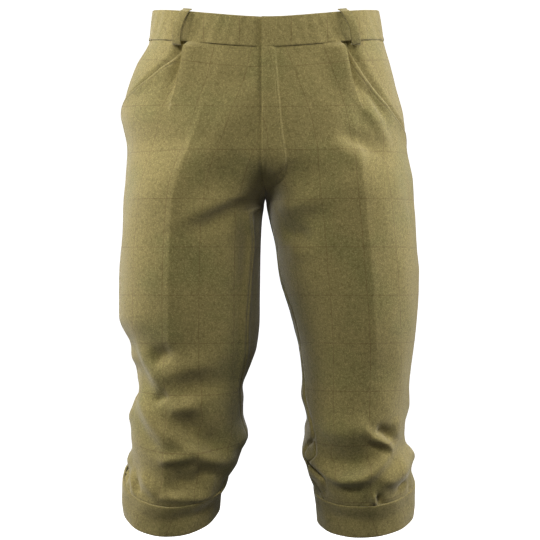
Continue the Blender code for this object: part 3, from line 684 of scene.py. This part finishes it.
def tweed_material(name, painted_shade=1.0):
    """Heathered olive twill with a thin rust windowpane, in cloth coordinates."""
    material = bpy.data.materials.new(name)
    material.use_nodes = True
    tree = material.node_tree
    nodes, link = tree.nodes, tree.links.new
    shader = nodes["Principled BSDF"]
    shader.inputs["Roughness"].default_value = 0.92
    shader.inputs["Specular IOR Level"].default_value = 0.18
    shader.inputs["Sheen Weight"].default_value = 0.45
    shader.inputs["Sheen Roughness"].default_value = 0.45
    shader.inputs["Sheen Tint"].default_value = (1.0, 0.96, 0.86, 1.0)

    def math(operation, first, second=None, third=None):
        node = nodes.new("ShaderNodeMath")
        node.operation = operation
        for socket, value in zip(node.inputs, (first, second, third)):
            if value is None:
                continue
            if isinstance(value, (int, float)):
                socket.default_value = value
            else:
                link(value, socket)
        return node.outputs[0]

    def mix(kind, factor, first, second):
        node = nodes.new("ShaderNodeMix")
        node.data_type = "RGBA"
        node.blend_type = kind
        for socket, value in ((node.inputs[0], factor), (node.inputs[6], first), (node.inputs[7], second)):
            if isinstance(value, (int, float, tuple)):
                socket.default_value = value
            else:
                link(value, socket)
        return node.outputs[2]

    def noise(where, scale, detail, rough=0.5):
        node = nodes.new("ShaderNodeTexNoise")
        node.inputs["Scale"].default_value = scale
        node.inputs["Detail"].default_value = detail
        node.inputs["Roughness"].default_value = rough
        link(where, node.inputs["Vector"])
        return node.outputs["Fac"]

    def ramp(value, low, high):
        node = nodes.new("ShaderNodeMapRange")
        node.interpolation_type = "SMOOTHSTEP"
        node.inputs["From Min"].default_value = low
        node.inputs["From Max"].default_value = high
        link(value, node.inputs["Value"])
        return node.outputs["Result"]

    cloth = nodes.new("ShaderNodeUVMap")
    cloth.uv_map = "cloth"
    place = nodes.new("ShaderNodeTexCoord").outputs["Object"]
    split = nodes.new("ShaderNodeSeparateXYZ")
    link(cloth.outputs["UV"], split.inputs[0])
    across, along = split.outputs["X"], split.outputs["Y"]

    # The twill's diagonal ribs, broken up along their length.
    ribs = math("SINE", math("MULTIPLY", math("ADD", across, along), 2 * np.pi / (TWILL_PITCH * MM)))
    yarns = math("SINE", math("MULTIPLY", math("SUBTRACT", across, along), 2 * np.pi / (TWILL_PITCH * MM * 0.8)))
    weave = math("ADD", math("MULTIPLY", ribs, 0.5), math("MULTIPLY", yarns, 0.28))

    # Heather: yarn-sized flecks of straw, moss and bark, and broad soft patches.
    fine = noise(place, 620.0, 2.0, 0.6)
    coarse = noise(place, 270.0, 2.0, 0.55)
    patches = noise(place, 14.0, 3.0, 0.5)
    # Every yarn colour is multiplied by painted_shade: below 1 it is painted shade that darkens a whole copy of the
    # cloth.
    base, straw, bark, moss, rust = [
        (red * painted_shade, green * painted_shade, blue * painted_shade, 1.0) for red, green, blue in (OLIVE, STRAW, BARK, MOSS, RUST)
    ]
    colour = mix("MIX", ramp(patches, 0.42, 0.72), base, moss)
    colour = mix("MIX", math("MULTIPLY", ramp(fine, 0.46, 0.70), 0.55), colour, straw)
    colour = mix("MIX", math("MULTIPLY", ramp(coarse, 0.53, 0.70), 0.38), colour, bark)
    colour = mix("MIX", math("MULTIPLY", ramp(coarse, 0.47, 0.30), 0.20), colour, straw)
    rib_shade = math("ADD", math("MULTIPLY", weave, 0.13), 1.0)
    tint = nodes.new("ShaderNodeCombineColor")
    for socket in tint.inputs:
        link(rib_shade, socket)
    colour = mix("MULTIPLY", 1.0, colour, tint.outputs[0])

    # The windowpane: one rust line each way, a little uneven in strength.
    def pane(distance, spacing):
        off = math("PINGPONG", distance, spacing * MM / 2)
        return math("SUBTRACT", 1.0, ramp(off, 0.45 * CHECK_LINE * MM, 1.05 * CHECK_LINE * MM))

    panes = math("MAXIMUM", pane(across, CHECK_ACROSS), pane(along, CHECK_ALONG))
    worn = math("ADD", math("MULTIPLY", noise(place, 60.0, 2.0), 0.45), 0.06)
    colour = mix("MIX", math("MULTIPLY", panes, worn), colour, rust)
    link(colour, shader.inputs["Base Color"])

    height = math("ADD", math("MULTIPLY", weave, 0.55), math("ADD", fine, math("MULTIPLY", coarse, 1.1)))
    bump = nodes.new("ShaderNodeBump")
    bump.inputs["Strength"].default_value = 0.55
    bump.inputs["Distance"].default_value = 0.00042
    link(height, bump.inputs["Height"])
    link(bump.outputs["Normal"], shader.inputs["Normal"])
    return material


def thread_material():
    material = bpy.data.materials.new("thread")
    material.use_nodes = True
    nodes, link = material.node_tree.nodes, material.node_tree.links.new
    shader = nodes["Principled BSDF"]
    shader.inputs["Roughness"].default_value = 0.7
    shader.inputs["Sheen Weight"].default_value = 0.2
    wave = nodes.new("ShaderNodeTexNoise")
    wave.inputs["Scale"].default_value = 1500.0
    colours = nodes.new("ShaderNodeValToRGB")
    colours.color_ramp.elements[0].color = (0.085, 0.068, 0.030, 1.0)
    colours.color_ramp.elements[1].color = (0.170, 0.138, 0.066, 1.0)
    link(wave.outputs["Fac"], colours.inputs["Fac"])
    link(colours.outputs["Color"], shader.inputs["Base Color"])
    return material


# ---------------------------------------------------------------- pieces


def spread(edges, cells):
    """Columns across a panel: for each pair of neighbouring edges, that many equal cells."""
    columns = []
    for start, end, count in zip(edges, edges[1:], cells):
        columns += [start + (end - start) * k / count for k in range(count)]
    return np.stack(columns + [edges[-1]], axis=1)


def leg_levels(half):
    """Heights of the rows of cloth, closer together where the rise curves under and at the knee."""
    hip = np.linspace(PANEL_TOP, FORK_LEVEL + RISE_BLEND, 56)
    under = FORK_LEVEL + RISE_BLEND * (1 - np.sin(np.linspace(0, np.pi / 2, 34)[1:-1])) + 0.1
    thigh = np.linspace(FORK_LEVEL - 0.1, KNEE_ROWS_FROM, 62)
    hem = half.band_level + BAND_HEIGHT / 2 - LEG_IN_BAND
    knee = np.linspace(KNEE_ROWS_FROM, hem, 98)[1:]
    return np.concatenate([hip, under, thigh, knee])


def ditch(distance):
    """How far cloth dips into a seam, at a distance from it."""
    return -SEAM_DEPTH * bell(distance, SEAM_REACH) + 0.35 * bell(distance - 6.5, 4.0)


def inseam_corner(half, distance, level):
    """The stiff edge along the right leg's inside seam, which turns the cloth sharply to the inner side."""
    if half is not RIGHT:
        return 0.0
    run = smoothstep((FORK_LEVEL - level) / 14.0) * smoothstep((level + 580.0) / 120.0)
    return INSEAM_CORNER * run * bell(distance, INSEAM_CORNER_REACH)


def pocket_gape(half, level, from_edge):
    """How far the slanted pocket's edge stands off the cloth behind it."""
    mouth = np.clip((level - PANEL_TOP) / (half.pocket[-1].level - PANEL_TOP), 0, 1)
    return POCKET_GAPE * np.sin(np.pi * mouth) ** 0.8 * bell(from_edge, POCKET_GAPE_REACH)


def join_middle(half, grid, normals, lift, level):
    """The inner seam: a ditch that leaves the rise's two sides touching at the body's middle."""
    shift = normals * lift[..., None]
    shift[..., 0] *= smoothstep((FORK_LEVEL - level) / 40.0)
    grid = grid + shift
    grid[..., 0] = half.sign * np.maximum(half.sign * grid[..., 0], 0.01)
    return grid


def near_edges(start, end, wide):
    """Extra columns close to both edges of a panel, so that its seams stay crisp."""
    turns = [np.degrees(step / wide) for step in SEAM_COLUMNS]
    return [start + turn for turn in turns], [end - turn for turn in reversed(turns)]


def draped_panel(half, bearing, level):
    """The levels, points and normals of a panel with one row of cloth at each level."""
    level = np.repeat(level[:, None], bearing.shape[1], axis=1)
    grid = cloth_points(half, bearing, level)
    return level, grid, grid_normals(grid, base_normals(half, bearing, level))


def along_cloth(level):
    """Where a level lies along the weave."""
    return -level - CHECK_DROP


def cloth_uv(half, grid, bearing, level):
    """Cloth coordinates: across from the crease by arc length, and along by level."""
    reach = arc_lengths(grid)
    crease = line_bearing(half, half.crease, level[:, 0])
    at_crease = np.array([np.interp(c, b, r) for c, b, r in zip(crease, bearing, reach)])
    across = reach - at_crease[:, None] - half.check_from_crease
    return np.stack([half.sign * across, along_cloth(level)], axis=-1)


def make_front(half, material):
    level = leg_levels(half)
    wide = section_at(half, level)[2]
    inner = inner_edge(half, level, back=False)
    outer = np.where(level > half.pocket[-1].level, along_table(half.pocket, "bearing", level), SIDE_SEAM)
    crease = line_bearing(half, half.crease, level)
    pleat = np.minimum(line_bearing(half, half.pleat, level), outer - np.degrees(POCKET_STITCH_INSET / wide))
    crease = np.minimum(crease, pleat - 1.0)
    foot = pleat + np.degrees(PLEAT_STEP / np.minimum(wide, PLEAT_TURN_RADIUS))
    first, last = near_edges(inner, outer, wide)
    bearing = spread([*first, crease, pleat, foot, *last], [1, 1, 1, 38, 12, 2, 22, 1, 1, 1])
    level, grid, normals = draped_panel(half, bearing, level)
    from_inner = np.radians(bearing - inner[:, None]) * wide[:, None]
    from_outer = np.radians(outer[:, None] - bearing) * wide[:, None]
    at_pocket = (level > half.pocket[-1].level).astype(float)
    lift = (1 - at_pocket) * ditch(from_outer)
    turned_edge = 1.2 * bell(from_outer, 1.3)
    stitched_groove = 0.5 * bell(from_outer - POCKET_STITCH_INSET, 1.0)
    lift = lift + at_pocket * (pocket_gape(half, level, from_outer) - turned_edge - stitched_groove)
    if half is RIGHT:
        beside_fly = bell(-grid[..., 0] - LAP_OVER - 0.9, FLY_GROOVE_REACH)
        lift = lift - FLY_GROOVE * beside_fly * smoothstep((level - FLY_FOOT) / 8.0)
    grid = grid + normals * lift[..., None]
    grid = join_middle(half, grid, normals, ditch(from_inner) + inseam_corner(half, from_inner, level), level)
    uv = cloth_uv(half, grid, bearing, level)
    piece = shell(f"cloth_front_{half.name}", grid, CLOTH, uv, material, normals)
    return finish_piece(piece, "tweed", f"front_{half.name}")


def make_back(half, material):
    level = leg_levels(half)
    wide = section_at(half, level)[2]
    side = np.full(len(level), SIDE_SEAM)
    inner = inner_edge(half, level, back=True)
    first, last = near_edges(side, inner, wide)
    bearing = spread([*first, *last], [1, 1, 1, 80, 1, 1, 1])
    level, grid, normals = draped_panel(half, bearing, level)
    from_side = np.radians(bearing - side[:, None]) * wide[:, None]
    from_inner = np.radians(inner[:, None] - bearing) * wide[:, None]
    grid = grid + normals * ditch(from_side)[..., None]
    grid = join_middle(half, grid, normals, ditch(from_inner) + inseam_corner(half, from_inner, level), level)
    reach = arc_lengths(grid)
    from_middle = reach - reach.max(axis=1, keepdims=True) * 0.5
    uv = np.stack([half.sign * from_middle, along_cloth(level)], axis=-1)
    piece = shell(f"cloth_back_{half.name}", grid, CLOTH, uv, material, normals)
    return finish_piece(piece, "tweed", f"back_{half.name}")


def make_pocket_facing(half, material):
    """The cloth behind the slanted pocket: it joins the side seam and lies under the front's edge."""
    level = np.linspace(PANEL_TOP, half.pocket[-1].level - FACING_RUNS_ON, 64)
    wide = section_at(half, level)[2]
    edge = along_table(half.pocket, "bearing", level)
    start = edge - np.degrees(FACING_UNDERLAP / wide)
    side = np.full(len(level), SIDE_SEAM)
    bearing = spread([start, side - np.degrees(3.0 / wide), side], [34, 4])
    level, grid, normals = draped_panel(half, bearing, level)
    from_edge = np.radians(bearing - edge[:, None]) * wide[:, None]
    from_side = np.radians(SIDE_SEAM - bearing) * wide[:, None]
    lift = -FACING_DROP * (1 - smoothstep((from_edge - 2) / 16.0)) + ditch(from_side)
    grid = grid + normals * lift[..., None]
    reach = arc_lengths(grid)
    uv = np.stack([half.sign * (reach + 11.0), along_cloth(level)], axis=-1)
    piece = shell(f"cloth_pocket_facing_{half.name}", grid, CLOTH, uv, material, normals)
    return finish_piece(piece, "tweed", f"pocket_facing_{half.name}")


def rounded_profile(top, bottom, thickness, bulge, corner, cells):
    """A strip's cross-section, as (height, offset out) pairs: the outer face down, then the inner face up."""
    turn = np.linspace(0, np.pi / 2, 5)
    heights = np.linspace(top - corner, bottom + corner, cells)
    swell = bulge * np.sin(np.linspace(0, np.pi, cells)) ** 0.7
    outer_top = [(top - corner + corner * np.cos(t), -corner + corner * np.sin(t)) for t in turn[:-1]]
    outer = list(zip(heights, swell))
    outer_low = [(bottom + corner - corner * np.sin(t), -corner + corner * np.cos(t)) for t in turn[1:]]
    inner_low = [(bottom + corner - corner * np.cos(t), -thickness + corner - corner * np.sin(t)) for t in turn[:-1]]
    inner = [(h, -thickness) for h in heights[::-1]]
    inner_top = [(top - corner + corner * np.sin(t), -thickness + corner - corner * np.cos(t)) for t in turn[1:]]
    return np.array(outer_top + outer + outer_low + inner_low + inner + inner_top)


def waist_ring(half, bearing, level):
    """Waist surface and its normals; bearings below 0 or above 180 carry on past the body's middle."""
    folded = np.where(bearing < 0, -bearing, np.where(bearing > 180, 360 - bearing, bearing))
    flipped = (bearing < 0) | (bearing > 180)
    points = base_points(half, folded, level)
    normals = base_normals(half, folded, level)
    points[..., 0] = np.where(flipped, -points[..., 0], points[..., 0])
    normals[..., 0] = np.where(flipped, -normals[..., 0], normals[..., 0])
    return points, normals


def make_waistband(half, material):
    """Half of the waistband. The left half laps over the right one at the front."""
    lap = np.degrees(LAP_OVER / 112.0)
    start = -lap if half.sign > 0 else -12.0
    bearing = np.concatenate([np.linspace(start, 8, 24), np.linspace(8, 180, 200)[1:]])
    profile = rounded_profile(0.6, -WAISTBAND_HEIGHT - 0.8, WAISTBAND_CLOTH, 0.5, 1.1, 12)
    level = np.repeat(profile[:, :1], len(bearing), axis=1)
    out = np.repeat(profile[:, 1:], len(bearing), axis=1)
    turn = np.repeat(bearing[None, :], len(profile), axis=0)
    on_form = np.clip(level, DIP_FADES, 0)
    points, normals = waist_ring(half, turn, on_form)
    points[..., 2] += level - on_form
    pull = 0.5 * np.sin(turn * 0.32 + 1.0) * np.sin(turn * 0.11) + 0.25 * np.sin(turn * 0.9 + level * 0.12)
    pull = pull * smoothstep((turn - 4) / 12.0) * smoothstep((176 - turn) / 10.0)
    rolled_foot = 0.8 * bell(level + WAISTBAND_HEIGHT - 0.6, 1.6)
    top_groove = 0.7 * bell(level + 2.6, 1.0)
    underlap = -(WAISTBAND_CLOTH + 0.4) * (1 - smoothstep((turn - 1.0) / 9.0)) if half.sign < 0 else 0.0
    overlap = 0.7 * (1 - smoothstep((turn + lap) / 6.0)) if half.sign > 0 else 0.0
    grid = points + normals * (out + 0.6 + pull + rolled_foot - top_groove + underlap + overlap)[..., None]
    reach = arc_lengths(grid)
    from_front = half.sign * (reach - reach[:, :1]) + (11.0 if half.sign > 0 else 8.0)
    uv = np.stack([from_front, -level + 13.0], axis=-1)
    piece = loft(f"cloth_waistband_{half.name}", grid, uv, material)
    return finish_piece(piece, "tweed", f"waistband_{half.name}")


def make_knee_band(half, material):
    """The band goes round the leg once and laps over itself behind the outer side."""
    start = KNEE_BAND_STARTS
    bearing = np.linspace(start, start + 360 + KNEE_BAND_LAP, 300)
    profile = rounded_profile(BAND_HEIGHT / 2 + 1.0, -BAND_HEIGHT / 2, BAND_CLOTH, 0.8, 1.5, 16)
    level = half.band_level + np.repeat(profile[:, :1], len(bearing), axis=1)
    out = np.repeat(profile[:, 1:], len(bearing), axis=1)
    turn = np.repeat(bearing[None, :], len(profile), axis=0)
    over = (BAND_CLOTH + 0.5) * smoothstep((turn - start - 360 + 22) / 20.0)
    up = (level - half.band_level) / (BAND_HEIGHT / 2)
    flare = 1.4 * smoothstep(up)
    wave = 0.7 * np.sin(np.radians(turn) * 5 + 0.6) * smoothstep(up + 0.6) + 0.4 * np.sin(np.radians(turn) * 11 + up)
    wrinkle = 0.5 * np.sin(np.radians(turn) * 3.0 + up * 2.2) * np.sin(up * 2.4 + 0.4)
    grid = base_points(half, turn, level) + base_normals(half, turn, level) * (
        out + over + flare + wave + wrinkle
    )[..., None]
    reach = arc_lengths(grid)
    uv = np.stack([reach + 9.0, level - half.band_level + 31.0], axis=-1)
    piece = loft(f"cloth_knee_band_{half.name}", grid, uv, material)
    return finish_piece(piece, "tweed", f"knee_band_{half.name}")


def fly_grid(offset):
    """The fly's cloth: from its folded edge, just past the body's middle, to its stitched edge."""
    level = np.concatenate([
        np.linspace(PANEL_TOP, FLY_TURNS, 80),
        FLY_TURNS + (FLY_FOOT - FLY_TURNS) * np.sin(np.linspace(0, np.pi / 2, 14)[1:]),
    ])
    far = along_table(FLY_EDGE, "across", level)
    near = -LAP_OVER + 2.5 * smoothstep((-226 - level) / 28.0)
    share = np.concatenate([[0, 0.02, 0.05, 0.09], np.linspace(0.14, 0.76, 10), np.linspace(0.79, 1.0, 10)])
    across = near[:, None] + (far - near)[:, None] * share[None, :]
    level = np.repeat(level[:, None], len(share), axis=1)
    turn = bearing_at(LEFT, np.abs(across), level)
    grid = cloth_points(LEFT, turn, level)
    outward = base_normals(LEFT, turn, level)
    grid[..., 0] = np.sign(across) * grid[..., 0]
    outward[..., 0] = np.sign(across) * outward[..., 0]
    normals = grid_normals(grid, outward)
    from_far = far[:, None] - across
    lift = offset * smoothstep((from_far + 0.5) / 5.0) + 0.12
    lift = lift - 0.5 * bell(from_far - FLY_STITCH_INSET, 1.0)
    lift = lift + FLY_RISE * bell(across - near[:, None], 6.0)
    lift = lift * (0.35 + 0.65 * smoothstep((level - FLY_FOOT) / 26.0))
    lift = lift - 0.8 * bell(across - near[:, None], 0.9)
    return grid + normals * lift[..., None], normals, across, level, turn


def make_fly(material):
    grid, normals, across, level, turn = fly_grid(FLY_CLOTH + 0.5)
    crease = line_bearing(LEFT, LEFT.crease, level)
    wide = section_at(LEFT, level)[2]
    from_crease = np.radians(turn - crease) * wide - LEFT.check_from_crease
    folded = np.where(across < 0, from_crease - 2 * np.abs(across), from_crease)
    uv = np.stack([folded, along_cloth(level)], axis=-1)
    piece = shell("cloth_fly", grid, FLY_CLOTH, uv, material, normals)
    return finish_piece(piece, "tweed", "fly")


def make_loop(loop, material):
    """A belt loop: caught over the waistband's top edge, bowed out, and sewn down below its seam."""
    stations = 60
    down = np.linspace(-0.04, 1, stations)
    drop = WAISTBAND_HEIGHT + LOOP_TAIL
    bow = np.sin(np.pi * np.clip(down, 0, 1)) ** 0.55
    stand = 0.9 + LOOP_STAND * bow
    level = 2.2 - drop * down
    lean = np.degrees(loop.lean / 130.0)
    middle = loop.bearing + lean * (down - 0.5) + 0.6 * np.sin(np.pi * down)
    half_wide, half_thick, corner = LOOP_WIDTH / 2, LOOP_CLOTH / 2, LOOP_CORNER
    turn = np.linspace(0, np.pi / 2, 4)
    quarter = [(half_wide - corner + corner * np.cos(t), half_thick - corner + corner * np.sin(t)) for t in turn]
    mirrored = [(-a, b) for a, b in quarter[::-1]]
    profile = np.array(quarter + mirrored + [(-a, -b) for a, b in quarter] + [(-a, -b) for a, b in mirrored])
    twist = np.radians(loop.lean * 1.3) * bow
    side = profile[:, :1] * np.cos(twist)[None, :] - profile[:, 1:] * np.sin(twist)[None, :]
    out = profile[:, :1] * np.sin(twist)[None, :] + profile[:, 1:] * np.cos(twist)[None, :]
    narrow = 1.0 - 0.10 * bow
    bearing = middle[None, :] + np.degrees(side * narrow / 118.0)
    levels = np.repeat(level[None, :], len(profile), axis=0)
    on_form = np.minimum(levels, 0)
    points, _ = waist_ring(loop.half, bearing, on_form)
    points[..., 2] += levels - on_form
    _, middle_normal = waist_ring(loop.half, np.full(bearing.shape, loop.bearing), on_form)
    pleat = pleat_lift(loop.half, np.clip(bearing, 0, 180), levels)[0] * (levels < -WAISTBAND_HEIGHT)
    grid = points + middle_normal * (stand[None, :] + out + LOOP_CLOTH / 2 + np.maximum(pleat, 0))[..., None]
    tuck = smoothstep((0.05 - down) / 0.09)[None, :, None]
    grid = grid - middle_normal * tuck * 3.0
    uv = np.stack([np.repeat(profile[:, :1], stations, axis=1) + 16.0, -levels + 13.0], axis=-1)
    piece = loft(f"cloth_{loop.name}", grid, uv, material)
    return finish_piece(piece, "loop_tweed", loop.name)


# ---------------------------------------------------------------- stitching


def stitch_line(path, normals, length=2.6, gap=1.0, thick=0.26):
    """Points and faces of a row of stitches, each a small tapered bead lying on the cloth."""
    steps = np.linalg.norm(np.diff(path, axis=0), axis=1)
    reach = np.concatenate([[0], np.cumsum(steps)])
    starts = np.arange(0, reach[-1] - length, length + gap)
    rings = np.array([0.0, 0.12, 0.5, 0.88, 1.0])
    swell = np.array([0.15, 0.8, 1.0, 0.8, 0.15])
    angles = np.linspace(0, 2 * np.pi, 6, endpoint=False)
    points, faces = [], []
    for start in starts:
        at = start + rings * length
        middle = np.stack([np.interp(at, reach, path[:, k]) for k in range(3)], -1)
        up = unit(np.stack([np.interp(at, reach, normals[:, k]) for k in range(3)], -1))
        ahead = unit(np.gradient(middle, axis=0))
        side = unit(np.cross(ahead, up))
        first = sum(len(p) for p in points)
        ring = (
            middle[:, None]
            + up[:, None] * (0.10 + thick * swell[:, None, None] * (0.5 + np.sin(angles)[None, :, None]))
            + side[:, None] * thick * swell[:, None, None] * np.cos(angles)[None, :, None] * 1.3
        )
        points.append(ring.reshape(-1, 3))
        for k in range(4):
            for j in range(6):
                a, b = first + k * 6 + j, first + k * 6 + (j + 1) % 6
                faces.append((a, b, b + 6, a + 6))
        faces.append(tuple(first + j for j in range(6)))
        faces.append(tuple(first + 24 + j for j in reversed(range(6))))
    return np.concatenate(points), faces


def make_stitching(name, line, material):
    """A row of stitches along a line, given by its points and the normals along it."""
    points, faces = stitch_line(*line)
    piece = make_mesh(name, points, faces, points[:, :2], material, sharp=80.0)
    return finish_piece(piece, "tweed")


def fly_stitches():
    """The J down the fly, 4 mm inside its edge."""
    level = np.concatenate([
        np.linspace(STITCHES_FROM, FLY_TURNS, 100),
        np.linspace(FLY_TURNS - 1, FLY_FOOT + 2, 24),
    ])
    across = along_table(FLY_EDGE, "across", level) - FLY_STITCH_INSET
    turn = bearing_at(LEFT, across, level)
    points = cloth_points(LEFT, turn, level)
    normals = base_normals(LEFT, turn, level)
    return points + normals * 0.35, normals


def pocket_stitches(half):
    """Topstitching along the pocket's edge."""
    level = np.linspace(STITCHES_FROM, half.pocket[-1].level + 4, 120)
    wide = section_at(half, level)[2]
    turn = along_table(half.pocket, "bearing", level) - np.degrees(POCKET_STITCH_INSET / wide)
    points = cloth_points(half, turn, level)
    normals = base_normals(half, turn, level)
    return points + normals * (pocket_gape(half, level, POCKET_STITCH_INSET) - 0.2)[:, None], normals


# ---------------------------------------------------------------- the set


# Metres: the floor's height, how far it runs flat, the radius it sweeps up with, and the backdrop's top.
STAGE_FLOOR = -0.95
STAGE_FLAT = 7.0
STAGE_BEND = 1.2
STAGE_TOP = 5.0
STAGE_SEGMENTS = 72


def make_stage():
    """A pale floor that sweeps up into a backdrop all round."""
    material = bpy.data.materials.new("backdrop")
    material.use_nodes = True
    shader = material.node_tree.nodes["Principled BSDF"]
    shader.inputs["Base Color"].default_value = (0.93, 0.93, 0.93, 1.0)
    shader.inputs["Roughness"].default_value = 0.9
    shader.inputs["Specular IOR Level"].default_value = 0.0
    shader.inputs["Emission Color"].default_value = (1.0, 1.0, 1.0, 1.0)
    shader.inputs["Emission Strength"].default_value = 1.0
    turn = np.linspace(0, np.pi / 2, 16)
    sweep = zip(STAGE_FLAT + STAGE_BEND * np.sin(turn), STAGE_FLOOR + STAGE_BEND - STAGE_BEND * np.cos(turn))
    side = [(0.001, STAGE_FLOOR), *sweep, (STAGE_FLAT + STAGE_BEND, STAGE_TOP)]
    segments = STAGE_SEGMENTS
    around = np.linspace(0, 2 * np.pi, segments, endpoint=False)
    points = [(reach * np.cos(a), reach * np.sin(a), z) for reach, z in side for a in around]
    faces = []
    for low in range(0, (len(side) - 1) * segments, segments):
        for k in range(segments):
            after = (k + 1) % segments
            faces.append((low + k, low + after, low + segments + after, low + segments + k))
    mesh = bpy.data.meshes.new("floor")
    mesh.from_pydata(points, [], faces)
    mesh.materials.append(material)
    mesh.shade_smooth()
    floor_piece = bpy.data.objects.new("floor", mesh)
    bpy.context.scene.collection.objects.link(floor_piece)
    floor_piece.visible_diffuse = False
    floor_piece.visible_glossy = False


# Metres: how far off the camera stands, how much it sees across there, and where it is.
CAMERA_AWAY = 3.0
CAMERA_SEES = 0.7744
CAMERA_ACROSS = 0.0065
CAMERA_HEIGHT = -0.370

Lamp = namedtuple("Lamp", "name place target size power colour")
LAMPS = [
    Lamp("key", (-0.36, -1.95, 1.10), (0, 0, -0.3), (0.9, 0.5), 33.5, (1.0, 0.98, 0.93)),
    Lamp("side_right", (-1.3, -0.05, 0.45), (0, 0, -0.32), (0.7, 1.3), 34, (1.0, 0.965, 0.91)),
    Lamp("side_left", (1.3, -0.05, 0.45), (0, 0, -0.32), (0.7, 1.3), 34, (1.0, 0.965, 0.91)),
    Lamp("fill_back", (0.3, 1.9, 0.7), (0, 0, -0.3), (1.2, 0.8), 12, (1.0, 0.98, 0.93)),
]


def make_lights():
    for lamp in LAMPS:
        light = bpy.data.lights.new(lamp.name, "AREA")
        light.shape = "RECTANGLE"
        light.size, light.size_y = lamp.size
        light.energy = lamp.power
        light.color = lamp.colour
        holder = bpy.data.objects.new(lamp.name, light)
        holder.location = lamp.place
        holder.rotation_euler = (Vector(lamp.target) - Vector(lamp.place)).to_track_quat("-Z", "Y").to_euler()
        bpy.context.scene.collection.objects.link(holder)
    world = bpy.data.worlds.new("studio")
    world.use_nodes = True
    background = world.node_tree.nodes["Background"]
    background.inputs["Color"].default_value = (1.0, 1.0, 1.0, 1.0)
    background.inputs["Strength"].default_value = 0.14
    bpy.context.scene.world = world


def make_camera():
    """Level, straight in front, and far enough off that the two legs look alike in scale."""
    camera = bpy.data.cameras.new("camera")
    camera.sensor_width = 36.0
    camera.lens = camera.sensor_width * CAMERA_AWAY / CAMERA_SEES
    holder = bpy.data.objects.new("camera", camera)
    holder.location = (CAMERA_ACROSS, -CAMERA_AWAY, CAMERA_HEIGHT)
    holder.rotation_euler = (np.pi / 2, 0.0, 0.0)
    bpy.context.scene.collection.objects.link(holder)
    bpy.context.scene.camera = holder
    bpy.context.scene.view_settings.view_transform = "Standard"


def make_garment():
    tweed = tweed_material("tweed")
    # The belt loops use a copy of the tweed painted 6% darker: painted shade, not a different cloth.
    loop_tweed = tweed_material("loop_tweed", 0.94)
    thread = thread_material()
    for half in HALVES:
        make_front(half, tweed)
        make_back(half, tweed)
        make_pocket_facing(half, tweed)
        make_waistband(half, tweed)
        make_knee_band(half, tweed)
    make_fly(tweed)
    for loop in LOOPS:
        make_loop(loop, loop_tweed)
    stitching = {"fly": make_stitching("stitching_fly", fly_stitches(), thread)}
    for half in HALVES:
        rows = make_stitching(f"stitching_pocket_{half.name}", pocket_stitches(half), thread)
        stitching[f"front_{half.name}"] = rows


def main():
    make_garment()
    make_stage()
    make_lights()
    make_camera()


main()
